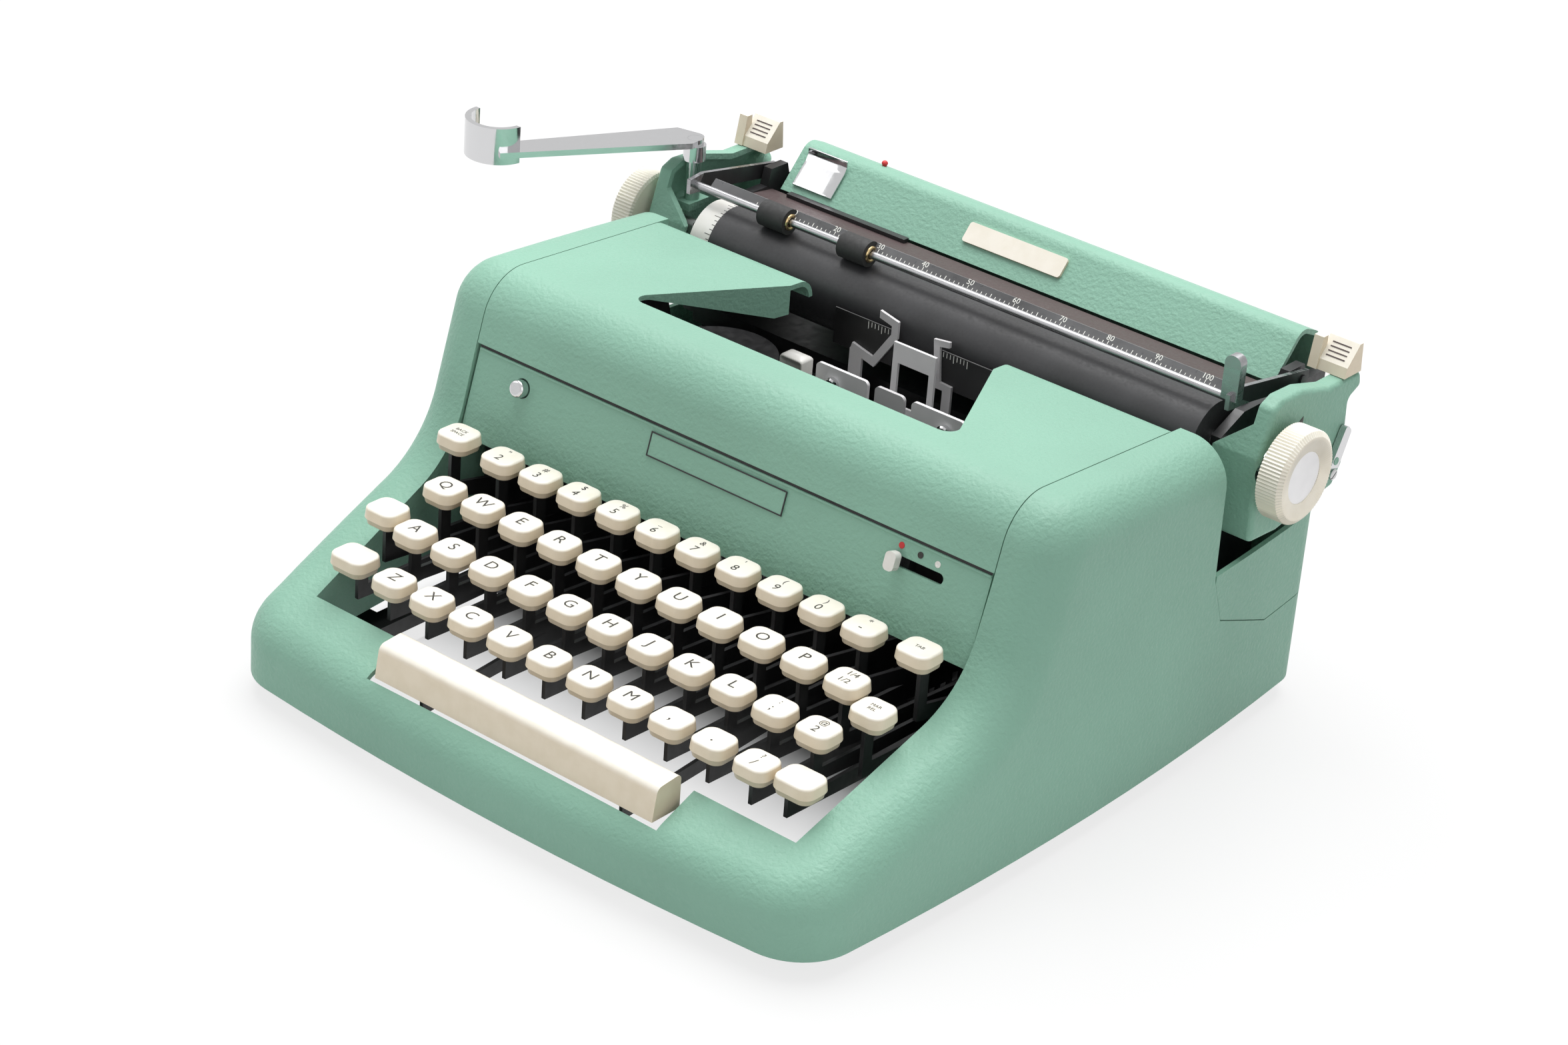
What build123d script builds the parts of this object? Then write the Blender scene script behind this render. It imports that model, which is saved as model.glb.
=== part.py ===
# Manual portable typewriter, built as separate named pieces with real joints
import os
from math import atan, cos, degrees, hypot, radians, sin

from build123d import *

os.makedirs("parts", exist_ok=True)

# Drawing axes in mm: X right, Y back, Z up. X 0 is the machine's middle, Y 0 the number row, Z 0 the table
# The saved pieces are moved so that the origin is the bottom centre of the whole machine's box
BOX_X, BOX_Y = -20.0, 65.5

# Case
CASE_FRONT, CASE_REAR, CASE_BOTTOM = -95.0, 206.0, 8.0
CASE_HALF, CASE_CORNER_HALF, CASE_BOW = 144.7, 137.5, 7.0
CASE_WALL, CASE_ROUND = 2.0, 16.0
FRONT_CORNER, REAR_CORNER = 24.0, 14.0
RIM_START, SWEEP, BROW, HOOD_BACK = (-130, 15), (7.8, 69.9), (27.4, 137.6), (125.5, 131.4)
SWEEP_ROUND, BROW_ROUND, HOOD_BACK_ROUND = 40.0, 20.0, 8.0
SEAM = [(127, 78), (135, 58), (170, 44), (215, 45)]
REAR_PANEL_TOP, SEAM_GAP = 79.0, 0.4
WELL_FRONT, WELL_FRONT_HALF, WELL_REAR, WELL_REAR_HALF = -68.0, 114.0, 19.0, 121.5
WELL_WALL_LOW, GROOVE_Z = 22.0, 111.3
NOTCH_HALF, NOTCH_FRONT, NOTCH_LOW = 69.0, -86.5, 14.0

# Front panel and hood
PANEL_LOW, PANEL_HIGH, PANEL_THICK, PANEL_SETBACK, PANEL_HALF = 77.0, 110.9, 2.0, 1.2, 120.2
BUTTON_X, BUTTON_Z, BUTTON_R, BUTTON_OUT = -96.4, 102.1, 5.0, 4.0
SLOT_X, SLOT_Z, SLOT_LENGTH, SLOT_HEIGHT = 89.7, 101.6, 24.0, 4.0
PLATE_X, PLATE_Z, PLATE_WIDTH, PLATE_HEIGHT = -1.5, 103.3, 64.0, 9.2
HOOD_HALF, HOOD_THICK = 121.1, 2.0
OPENING_FRONT, OPENING_FRONT_HALF, OPENING_REAR, OPENING_REAR_HALF = 52.0, 77.0, 112.0, 48.0
HINGE_Y, HINGE_Z, HINGE_R = 118.0, 122.0, 1.5

# Keyboard
KEY_PITCH, ROW_STEP_Y, ROW_STEP_Z, NUMBER_TOP = 19.05, 19.85, 8.97, 84.0
KEYBOARD_LEFT = -4.6 * KEY_PITCH
# Each row: its name, its count of keys, its stagger in key steps, and its posts' length down to the lever
ROWS = [("number", 10, 0.0, 15.5), ("q", 11, -0.5, 15.5), ("a", 11, -0.25, 10.0), ("z", 10, 0.25, 5.0)]
CAP_WIDTH, CAP_DEPTH, CAP_CORNER = 15.0, 14.0, 4.6
CAP_SKIRT, CAP_HEIGHT, CAP_TAPER = 4.2, 6.6, 1.0
LEVER_THICK, LEVER_DEPTH, POST_WIDTH, SHIFT_WIDTH = 1.6, 5.0, 5.0, 17.0
FULCRUM_Y, FULCRUM_Z, FULCRUM_R, RUNNING = 100.0, 38.0, 2.0, 0.05
SPACE_HALF, SPACE_REAR, SPACE_FRONT, SPACE_TOP, SPACE_LOW = 66.0, -71.5, -85.5, 46.6, 33.0
# Lever places: the space bar's arms in key steps from the first key, and the six outer keys' levers in mm
SPACE_ARMS, OUTER_LEVERS = (2.125, 7.125), (102.0, 107.0, 111.0)

# Chassis
PLATE_IN, PLATE_OUT, RAIL_IN, RAIL_OUT, RAIL_TOP = 117.0, 119.0, 113.0, 123.0, 14.0
FOOT_R, FOOT_X, FOOT_FRONT, FOOT_REAR = 8.0, 118.0, -64.0, 186.0

# Type basket
PRINT_Z, BASKET_R, SEGMENT_OUT, SEGMENT_IN = 117.0, 50.0, 56.0, 45.0
SEGMENT_FRONT, SEGMENT_BACK, TYPEBAR_LENGTH, TYPEBAR_THICK = 78.0, 88.0, 54.0, 1.2
TYPEBARS, TYPEBAR_FAN = 42, 140.0
SPOOL_X, SPOOL_Y, SPOOL_R, SPOOL_LOW, SPOOL_HIGH = 74.0, 104.0, 23.0, 84.0, 98.0
SHELF_TOP, SHELF_BACK, GUIDE_Y, GUIDE_THICK, GUIDE_TOP = 82.0, 128.5, 115.4, 1.4, 104.4
GUIDE_IN, GUIDE_OUT, GUIDE_MIDDLE, GUIDE_ROUND = 10.5, 35.5, 7.0, 2.0
VIBRATOR_HALF, VIBRATOR_WINDOW, VIBRATOR_LOW, VIBRATOR_TOP = 10.0, 7.4, 79.0, 117.4

# Carriage, at mid travel
AXIS_Y, AXIS_Z, PLATEN_R, PLATEN_HALF, SHAFT_R = 152.0, 116.5, 16.0, 120.0, 4.0
END_IN, END_OUT, COVER_OUT, COVER_WALL = 122.0, 126.0, 146.0, 2.4
FLANGE_IN, FLANGE_LOW, FLANGE_HIGH, SHAFT_OPENING_R = 139.5, 121.0, 133.0, 10.5
COVER_FRONT = [(142.5, 88), (141, 122), (147, 140), (153, 142.5), (166, 142)]
LEDGE_FRONT, LEDGE_REAR, LEDGE_Z, LEDGE_GAP = 184.0, 205.0, 137.2, 0.3
COVER_REAR = [(206.5, 131), (199, 127.5), (201, 101), (196, 93), (160, 87)]
KNOB_R, KNOB_IN, KNOB_OUT, KNOB_CAP_R, KNOB_DISH = 18.0, 150.0, 160.0, 11.5, 3.5
RAIL_YS, RAIL_SIZE, RAIL_LOW, SLIDE_GAP, BED_TOP = (150.0, 178.0), 6.0, 80.0, 0.4, 91.4
BAIL_Y, BAIL_Z, BAIL_R, ROLLER_R = 148.0, 137.6, 1.6, 5.2
BAIL_PIVOT_Y, BAIL_PIVOT_Z, PIN_R = 193.0, 131.0, 2.0
ARM_IN, ARM_OUT, TAB_IN, TAB_OUT, TAB_TALL, TAB_ROUND = 127.0, 128.8, 123.5, 130.4, 17.4, 3.2
COVER_LOW, COVER_TOP, COVER_BACK, COVER_TAIL = (190, 127), (206, 144.5), (219, 139), (223, BED_TOP)
COVER_HALF = 118.5
LEVER_PIVOT_X, LEVER_PIVOT_Y, LEVER_Z = -136.0, 156.0, 150.0
RELEASE_Y, RELEASE_Z, RELEASE_R = 191.0, 106.0, 1.5
MARGIN_LEFT, MARGIN_RIGHT, MARGIN_TAB, MARGIN_TOP = 130.0, 146.0, 4.0, 149.5


def save(name, shape):
    placed = Pos(-BOX_X, -BOX_Y, 0) * shape
    placed.label = name
    export_step(placed, f"parts/{name}.step")


def brick(low, high):
    with BuildPart() as piece:
        with Locations(tuple((a + b) / 2 for a, b in zip(low, high))):
            Box(*(b - a for a, b in zip(low, high)))
    return piece.part


def slab(points, x_from, x_to, rounds=()):
    # A side outline of (y, z) points carried from x_from to x_to, with rounds of (point number, radius)
    with BuildPart() as piece:
        with BuildSketch(Plane.YZ.offset(x_from)) as side:
            with BuildLine():
                Polyline(*points, close=True)
            make_face()
            for number, radius in rounds:
                fillet(side.vertices().sort_by_distance((*points[number], 0))[0], radius)
        extrude(amount=x_to - x_from)
    return piece.part


def bar(x_from, x_to, y, z, radius):
    with BuildPart() as piece:
        with BuildSketch(Plane.YZ.offset(x_from)):
            with Locations((y, z)):
                Circle(radius)
        extrude(amount=x_to - x_from)
    return piece.part


def post(x, y, z_from, z_to, radius):
    with BuildPart() as piece:
        with BuildSketch(Plane.XY.offset(z_from)):
            with Locations((x, y)):
                Circle(radius)
        extrude(amount=z_to - z_from)
    return piece.part


def joined(*pieces, cuts=(), keep=None):
    with BuildPart() as whole:
        for piece in pieces:
            add(piece)
        for piece in cuts:
            add(piece, mode=Mode.SUBTRACT)
        if keep is not None:
            add(keep, mode=Mode.INTERSECT)
    return whole.part


def repeated(piece, places):
    with BuildPart() as group:
        with Locations(*places):
            add(piece)
    return group.part


def both_sides(piece):
    with BuildPart() as pair:
        add(piece)
        mirror(about=Plane.YZ)
    return pair.part


# Case

def case_plan(inset, z_from, z_to):
    front, corner = CASE_FRONT + CASE_BOW, CASE_CORNER_HALF
    middle = (CASE_FRONT + CASE_REAR) / 2 + 20
    with BuildPart() as piece:
        with BuildSketch(Plane.XY.offset(z_from)) as plan:
            with BuildLine():
                ThreePointArc((-corner, front), (0, CASE_FRONT), (corner, front))
                ThreePointArc((corner, front), (CASE_HALF, middle), (corner, CASE_REAR))
                Line((corner, CASE_REAR), (-corner, CASE_REAR))
                ThreePointArc((-corner, CASE_REAR), (-CASE_HALF, middle), (-corner, front))
            make_face()
            fillet(plan.vertices().group_by(Axis.Y)[0], FRONT_CORNER)
            fillet(plan.vertices().group_by(Axis.Y)[-1], REAR_CORNER)
            if inset:
                offset(amount=-inset, mode=Mode.REPLACE)
        extrude(amount=z_to - z_from)
    return piece.part


def case_solid(inset):
    # The case's outer form, open to no side, drawn in by inset; it runs below the table when drawn in
    low = CASE_BOTTOM if not inset else CASE_BOTTOM - 30
    outline = [(-130, low), RIM_START, SWEEP, BROW, HOOD_BACK, *SEAM, (SEAM[-1][0], low)]
    with BuildPart() as piece:
        add(case_plan(inset, low, 160))
        with BuildSketch(Plane.YZ) as side:
            with BuildLine():
                Polyline(*outline, close=True)
            make_face()
            fillet(side.vertices().sort_by_distance((*SWEEP, 0))[0], SWEEP_ROUND)
            fillet(side.vertices().sort_by_distance((*BROW, 0))[0], BROW_ROUND)
            if inset:
                offset(amount=-inset, mode=Mode.REPLACE)
        extrude(amount=200, both=True, mode=Mode.INTERSECT)
        rim = [e for e in piece.edges() if is_rim(e)]
        fillet(rim, CASE_ROUND - inset)
    return piece.part


def is_rim(edge):
    # The edges between the case's top and its front and sides, which the rounding follows
    start, end, mid = edge @ 0, edge @ 1, edge @ 0.5
    upright = hypot(start.X - end.X, start.Y - end.Y) < 0.01
    across = abs(start.Y - end.Y) < 0.05 and abs(start.Z - end.Z) < 0.05 and abs(mid.Y - start.Y) < 0.5
    return mid.Z > 18 and mid.Y < 118 and not upright and not across


def well(grow, z_from, z_to):
    points = [(-WELL_FRONT_HALF - grow, WELL_FRONT - grow), (WELL_FRONT_HALF + grow, WELL_FRONT - grow),
              (WELL_REAR_HALF + grow, WELL_REAR), (WELL_REAR_HALF + grow, WELL_REAR + 11),
              (-WELL_REAR_HALF - grow, WELL_REAR + 11), (-WELL_REAR_HALF - grow, WELL_REAR)]
    with BuildPart() as piece:
        with BuildSketch(Plane.XY.offset(z_from)):
            with BuildLine():
                Polyline(*points, close=True)
            make_face()
        extrude(amount=z_to - z_from)
    return piece.part


case_outer, case_inner = case_solid(0), case_solid(CASE_WALL)


def body_shell():
    walls = joined(well(CASE_WALL, WELL_WALL_LOW, 160), keep=case_outer)
    skin = joined(case_outer, cuts=[case_inner])
    rear_room = joined(case_plan(CASE_WALL, 20, 160), keep=brick((-150, 130, 20), (150, 220, 160)))
    return joined(
        skin, walls,
        cuts=[well(0, -5, 160), brick((-WELL_REAR_HALF, WELL_REAR, 60), (WELL_REAR_HALF, 130, 160)),
              brick((-NOTCH_HALF, NOTCH_FRONT, NOTCH_LOW), (NOTCH_HALF, -60, 70)),
              brick((-WELL_REAR_HALF, 100, 46), (WELL_REAR_HALF, 140, 160)), rear_room])


def rear_panel():
    first = SEAM[0][0] + 1
    low = [(y, z + SEAM_GAP) for y, z in SEAM]
    outline = [(first, REAR_PANEL_TOP), (first, low[0][1] - 2.5), *low[1:], (SEAM[-1][0], REAR_PANEL_TOP)]
    return joined(case_plan(0, 30, REAR_PANEL_TOP), cuts=[case_plan(CASE_WALL, 29, REAR_PANEL_TOP + 1)],
                  keep=slab(outline, -170, 170))


# Front panel, hood and what is on them

STEEP = (BROW[1] - SWEEP[1]) / (BROW[0] - SWEEP[0])
PANEL_TILT = degrees(atan(STEEP))
OUT_Y, OUT_Z = -sin(radians(PANEL_TILT)), cos(radians(PANEL_TILT))


def panel_y(z):
    return SWEEP[0] + (z - SWEEP[1]) / STEEP + PANEL_SETBACK


def panel_plane(x, z):
    # A plane on the panel's face, with its Z pointing out of the machine
    return Plane(origin=(x, panel_y(z), z), x_dir=(1, 0, 0), z_dir=(0, OUT_Y, OUT_Z))


def on_panel(x, z, sketch, z_from, z_to):
    with BuildPart() as piece:
        with BuildSketch(panel_plane(x, z).offset(z_from)):
            sketch()
        extrude(amount=z_to - z_from)
    return piece.part


def front_panel():
    middle = (PANEL_LOW + PANEL_HIGH) / 2
    height = (PANEL_HIGH - PANEL_LOW) / sin(radians(PANEL_TILT))
    sheet = on_panel(0, middle, lambda: Rectangle(2 * PANEL_HALF, height), -PANEL_THICK, 0)
    tab = brick((PLATE_IN - 3, 13.6, 78), (PLATE_IN, 48, 84))
    return joined(sheet, both_sides(tab), cuts=[
        on_panel(BUTTON_X, BUTTON_Z, lambda: Circle(BUTTON_R - 1.2), -5, 5),
        on_panel(SLOT_X, SLOT_Z, lambda: SlotOverall(SLOT_LENGTH, SLOT_HEIGHT), -5, 5),
        on_panel(PLATE_X, PLATE_Z, lambda: Rectangle(PLATE_WIDTH, PLATE_HEIGHT), -1, 5)])


def name_plate():
    return on_panel(PLATE_X, PLATE_Z, lambda: Rectangle(PLATE_WIDTH, PLATE_HEIGHT), -1, 0.4)


def hood_button():
    head = on_panel(BUTTON_X, BUTTON_Z, lambda: Circle(BUTTON_R - 1.6), -6, BUTTON_OUT)
    with BuildPart() as piece:
        add(head)
        add(on_panel(BUTTON_X, BUTTON_Z, lambda: Circle(BUTTON_R), -6, -PANEL_THICK - 0.4))
        fillet(piece.edges().sort_by(Axis.Y)[0], 1.2)
    return piece.part


def ribbon_selector():
    left = SLOT_X - SLOT_LENGTH / 2 + 4
    return joined(on_panel(left, SLOT_Z, lambda: Rectangle(2.4, SLOT_HEIGHT - 0.8), -7, 1.5),
                  on_panel(left, SLOT_Z, lambda: RectangleRounded(4.5, 7, 1.8), 1.5, 5),
                  on_panel(left, SLOT_Z, lambda: Rectangle(7, 7), -7, -PANEL_THICK - 0.5))


def hood_flap():
    # The ear's edge folded down beside the opening, deeper towards the rear
    run, rise = OPENING_REAR - OPENING_FRONT, OPENING_FRONT_HALF - OPENING_REAR_HALF
    length = hypot(run, rise)
    top = 134.4
    plane = Plane(origin=(-OPENING_FRONT_HALF, OPENING_FRONT, top), x_dir=(rise, run, 0),
                  z_dir=(run, -rise, 0))
    with BuildPart() as piece:
        with BuildSketch(plane.offset(-1.6)):
            with BuildLine():
                Polyline((6, 0), (length, -3), (length, -14), (length - 6, -15), close=True)
            make_face()
        extrude(amount=1.6)
    return piece.part


def top_hood():
    low = 60.0
    outline = [(SWEEP[0] + (low - SWEEP[1]) / STEEP, low), BROW, HOOD_BACK, (HOOD_BACK[0], low)]
    with BuildPart() as sheet:
        with BuildSketch(Plane.YZ.offset(-HOOD_HALF)) as side:
            with BuildLine():
                Polyline(*outline, close=True)
            make_face()
            fillet(side.vertices().sort_by_distance((*BROW, 0))[0], BROW_ROUND)
            fillet(side.vertices().sort_by_distance((*HOOD_BACK, 0))[0], HOOD_BACK_ROUND)
            offset(amount=-HOOD_THICK, mode=Mode.SUBTRACT)
        extrude(amount=2 * HOOD_HALF)
    with BuildPart() as opening:
        with BuildSketch(Plane.XY.offset(115)) as plan:
            front = [(-OPENING_FRONT_HALF, OPENING_FRONT), (OPENING_FRONT_HALF, OPENING_FRONT)]
            rear = [(OPENING_REAR_HALF, OPENING_REAR), (OPENING_REAR_HALF, 140),
                    (-OPENING_REAR_HALF, 140), (-OPENING_REAR_HALF, OPENING_REAR)]
            with BuildLine():
                Polyline(*front, *rear, close=True)
            make_face()
            fillet(plan.vertices().group_by(Axis.Y)[0], 5)
        extrude(amount=40)
    lug = slab([(112, 131), (121, 130), (122, 120), (118, 118.2), (114, 120)], 105, 108)
    lug = joined(lug, cuts=[bar(100, 112, HINGE_Y, HINGE_Z, HINGE_R + RUNNING)])
    return joined(sheet.part, both_sides(lug), both_sides(hood_flap()),
                  cuts=[opening.part, brick((-130, -20, 40), (130, 70, GROOVE_Z + 0.4)),
                        brick((-130, 70, 40), (130, 124, 100)), brick((-130, 123, 40), (130, 140, 124))])


# Keyboard

def key_x(row, index):
    return KEYBOARD_LEFT + (ROWS[row][2] + index) * KEY_PITCH


def key_cap(width, depth=CAP_DEPTH):
    # A cap with its top centre at the origin: a tapered top and a skirt drawn in below it
    with BuildPart() as cap:
        with BuildSketch(Plane.XY.offset(-CAP_SKIRT)):
            RectangleRounded(width, depth, CAP_CORNER)
        with BuildSketch(Plane.XY):
            RectangleRounded(width - CAP_TAPER, depth - CAP_TAPER, CAP_CORNER - CAP_TAPER / 2)
        loft()
        with BuildSketch(Plane.XY.offset(-CAP_HEIGHT)):
            RectangleRounded(width - 2 * CAP_TAPER, depth - 2 * CAP_TAPER, CAP_CORNER - CAP_TAPER)
        with BuildSketch(Plane.XY.offset(-CAP_SKIRT)):
            RectangleRounded(width - CAP_TAPER, depth - CAP_TAPER, CAP_CORNER - CAP_TAPER / 2)
        loft()
        fillet(cap.faces().sort_by(Axis.Z)[-1].edges(), 1.0)
    return cap.part


def lever(key_y, cap_low, bar_z, thick=LEVER_THICK, width=POST_WIDTH):
    # A key lever in the middle plane: an upright post and a bar back to an eye on the fulcrum rod
    near, far = key_y - width / 2, key_y + width / 2
    eye_y, eye_z = FULCRUM_Y, FULCRUM_Z
    outline = [(near, cap_low), (far, cap_low), (far, bar_z), (eye_y, eye_z + 4.5), (eye_y + 6, eye_z + 3),
               (eye_y + 6, eye_z - 3), (eye_y, eye_z - 4.5), (near, bar_z - LEVER_DEPTH)]
    side = slab(outline, -thick / 2, thick / 2)
    return joined(side, cuts=[bar(-5, 5, eye_y, eye_z, FULCRUM_R + RUNNING)])


def row_places(row, y, z):
    return [(key_x(row, index), y, z) for index in range(ROWS[row][1])]


def key_row(row):
    y, top = -row * ROW_STEP_Y, NUMBER_TOP - row * ROW_STEP_Z
    caps = repeated(key_cap(CAP_WIDTH), row_places(row, y, top))
    low = top - CAP_HEIGHT
    levers = repeated(lever(y, low, low - ROWS[row][3]), row_places(row, 0, 0))
    return caps, levers


def special_key(x, y, top, lever_x, row=0, width=CAP_WIDTH):
    # A key beside a row, with posts as long as the row's
    low = top - CAP_HEIGHT
    return Compound([Pos(x, y, top) * key_cap(width), Pos(lever_x, 0, 0) * lever(y, low, low - ROWS[row][3])])


def space_bar():
    middle = (SPACE_REAR + SPACE_FRONT) / 2
    cap = slab([(SPACE_FRONT + 2, SPACE_TOP - 1), (SPACE_REAR, SPACE_TOP), (SPACE_REAR, SPACE_LOW),
                (SPACE_FRONT, SPACE_LOW)], -SPACE_HALF, SPACE_HALF, rounds=[(0, 3), (1, 2)])
    arm = lever(middle, SPACE_LOW, SPACE_LOW - 4, thick=1.5)
    return cap, repeated(arm, [(key_x(0, index), 0, 0) for index in SPACE_ARMS])


# Chassis

def base_frame():
    rail = brick((RAIL_IN, -72, CASE_BOTTOM), (RAIL_OUT, 196, RAIL_TOP))
    tabs = [brick((RAIL_OUT, y, CASE_BOTTOM), (160, y + 16, CASE_BOTTOM + 3)) for y in (-40, 60, 160)]
    across = [brick((-RAIL_IN, y, CASE_BOTTOM), (RAIL_IN, y + 6, RAIL_TOP)) for y in (30, 188)]
    dust_plate = brick((-RAIL_IN, 24, CASE_BOTTOM), (RAIL_IN, 120, CASE_BOTTOM + 2))
    return joined(both_sides(joined(rail, *tabs)), *across, dust_plate, keep=case_inner)


def side_plates():
    outline = [(24, RAIL_TOP), (190, RAIL_TOP), (190, RAIL_LOW), (128, RAIL_LOW), (120, 112), (120, 124.5),
               (114, 124.5), (106, 100), (60, 100), (24, 72)]
    plate = slab(outline, PLATE_IN, PLATE_OUT)
    pin = bar(103, PLATE_IN, HINGE_Y, HINGE_Z, HINGE_R)
    return both_sides(joined(plate, pin))


def rear_plate():
    # Plate across the back that carries the mainspring drum's stud
    sheet = brick((-PLATE_IN, 186, RAIL_TOP), (PLATE_IN, 188, RAIL_LOW - 2))
    with BuildPart() as stud:
        with BuildSketch(Plane.XZ.offset(-186)):
            with Locations((-80, 50)):
                Circle(3)
        extrude(amount=24)
    tab = brick((20, 188, 60), (40, CASE_REAR - CASE_WALL, 66))
    return joined(sheet, stud.part, both_sides(tab))


def mainspring_drum():
    with BuildPart() as drum:
        with BuildSketch(Plane.XZ.offset(-184)):
            with Locations((-80, 50)):
                Circle(20)
                Circle(3 + RUNNING, mode=Mode.SUBTRACT)
        extrude(amount=16)
    return drum.part


def key_comb():
    # Slotted guide in which the key levers rise and fall
    sheet = brick((-112, 60, 20), (112, 62, 60))
    slots = [brick((key_x(row, i) - 1.3, 58, 26), (key_x(row, i) + 1.3, 64, 61))
             for row in range(4) for i in range(ROWS[row][1])]
    arms = [brick((key_x(0, i) - 1.1, 58, 26), (key_x(0, i) + 1.1, 64, 61)) for i in SPACE_ARMS]
    end = brick((112, 60, 20), (PLATE_IN, 62, 26))
    outer = [both_sides(brick((x - 1.5, 58, 26), (x + 1.5, 64, 61))) for x in OUTER_LEVERS]
    return joined(sheet, both_sides(end), cuts=[*slots, *arms, *outer])


# Type basket

def basket_places():
    step = TYPEBAR_FAN / (TYPEBARS - 1)
    return [Location((0, 0, PRINT_Z), (0, -TYPEBAR_FAN / 2 + step * i, 0)) for i in range(TYPEBARS)]


def type_segment():
    beam = brick((-PLATE_IN, SEGMENT_FRONT + 2, 56), (PLATE_IN, SEGMENT_BACK, 64))
    with BuildPart() as piece:
        with BuildSketch(Plane.XZ.offset(-SEGMENT_BACK)):
            with Locations((0, PRINT_Z)):
                Circle(SEGMENT_OUT)
                Circle(SEGMENT_IN, mode=Mode.SUBTRACT)
            with Locations((0, PRINT_Z + 90)):
                Rectangle(300, 202, mode=Mode.SUBTRACT)
        extrude(amount=SEGMENT_BACK - SEGMENT_FRONT)
        add(beam)
        with Locations(*basket_places()):
            with Locations((0, SEGMENT_FRONT + 2, -BASKET_R)):
                Box(TYPEBAR_THICK + 0.5, 6, 8, mode=Mode.SUBTRACT)
    return piece.part


def typebars():
    tip = SEGMENT_FRONT - TYPEBAR_LENGTH
    half = TYPEBAR_THICK / 2
    stem = brick((-half, tip + 5, -BASKET_R - 2), (half, SEGMENT_FRONT + 4, -BASKET_R + 2))
    head = brick((-1.1, tip, -BASKET_R - 3), (1.1, tip + 5, -BASKET_R + 5))
    return repeated(joined(stem, head), basket_places())


def upright(x_from, x_to):
    # A thin plate standing on the shelf, with its upper corners rounded
    with BuildPart() as piece:
        add(brick((x_from, GUIDE_Y, SHELF_TOP), (x_to, GUIDE_Y + GUIDE_THICK, GUIDE_TOP)))
        fillet(piece.edges().filter_by(Axis.Y).group_by(Axis.Z)[-1], GUIDE_ROUND)
    return piece.part


def type_guide():
    shelf = brick((-47, SEGMENT_BACK, SHELF_TOP - 4), (47, SHELF_BACK, SHELF_TOP))
    return joined(shelf, upright(-GUIDE_MIDDLE, GUIDE_MIDDLE))


def card_holder(outline, foot_from, foot_to):
    # A bent arm that holds a card against the platen, on a foot behind the shelf
    rear, thick = 134.4, 1.2
    with BuildPart() as arm:
        with BuildSketch(Plane.XZ.offset(-rear)):
            with BuildLine():
                Polyline(*outline, close=True)
            make_face()
        extrude(amount=thick)
        add(brick((foot_from, SHELF_BACK, SHELF_TOP - 2), (foot_to, rear, SHELF_TOP)))
        add(brick((foot_from, rear - thick, SHELF_TOP - 2), (foot_to, rear, 105)))
    return arm.part


def card_holders():
    left = card_holder([(-34, 104), (-22, 101), (-12, 116), (-12, 123), (-21, 125), (-21, 122), (-15, 120.5),
                        (-15, 117), (-23, 105), (-33, 107.5)], -34, -28)
    right = card_holder([(5, 122.4), (12.5, 123.4), (12.5, 121), (8, 120.2), (9.4, 106), (15, 105.6),
                         (15, 103), (7, 103)], 11, 15)
    return joined(left, right)


def guide_plates():
    return both_sides(upright(GUIDE_IN, GUIDE_OUT))


def spool_cups():
    cup = post(SPOOL_X, SPOOL_Y, SPOOL_LOW - 4, SPOOL_LOW - 0.6, SPOOL_R + 2)
    arm = brick((SPOOL_X + 18, SPOOL_Y - 8, SPOOL_LOW - 4), (PLATE_IN, SPOOL_Y + 8, SPOOL_LOW - 0.6))
    return both_sides(joined(cup, arm, post(SPOOL_X, SPOOL_Y, SPOOL_LOW - 4, SPOOL_HIGH + 4, 2)))


def ribbon_spool(x):
    flange = [post(x, SPOOL_Y, z, z + 1.2, SPOOL_R) for z in (SPOOL_LOW, SPOOL_HIGH - 1.2)]
    wound = post(x, SPOOL_Y, SPOOL_LOW, SPOOL_HIGH, SPOOL_R - 6)
    return joined(wound, *flange, cuts=[post(x, SPOOL_Y, SPOOL_LOW - 1, SPOOL_HIGH + 1, 2 + RUNNING)])


def ribbon_vibrator():
    front, thick = SHELF_BACK + LEDGE_GAP, 1.2
    plate = brick((-VIBRATOR_HALF, front, VIBRATOR_LOW), (VIBRATOR_HALF, front + thick, VIBRATOR_TOP))
    window = brick((-VIBRATOR_WINDOW, front - 1, VIBRATOR_LOW + 13),
                   (VIBRATOR_WINDOW, front + thick + 1, VIBRATOR_TOP - 8))
    return joined(plate, cuts=[window])


# Carriage

def carriage_rails():
    half = RAIL_SIZE / 2
    return joined(*[brick((-PLATE_OUT, y - half, RAIL_LOW), (PLATE_OUT, y + half, RAIL_LOW + RAIL_SIZE))
                    for y in RAIL_YS])


def carriage_frame():
    top = RAIL_LOW + RAIL_SIZE + SLIDE_GAP
    bed = brick((-END_IN, 143, top), (END_IN, 224, BED_TOP))
    reach = RAIL_SIZE / 2 + SLIDE_GAP + 1
    lips = [brick((-END_IN, y + side * reach - 1, RAIL_LOW + 2), (END_IN, y + side * reach + 1, top))
            for y in RAIL_YS for side in (-1, 1)]
    outline = [(143, top), (210, top), (214, 128), (200, 128), (198, 135), (188, 135), (186, 128),
               (160, 128), (146, 122)]
    end = slab(outline, END_IN, END_OUT)
    pin = bar(END_OUT - 1, ARM_OUT + 0.6, BAIL_PIVOT_Y, BAIL_PIVOT_Z, PIN_R)
    return joined(bed, *lips, both_sides(joined(end, pin)),
                  cuts=[bar(-150, 150, AXIS_Y, AXIS_Z, SHAFT_R + RUNNING)])


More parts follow.
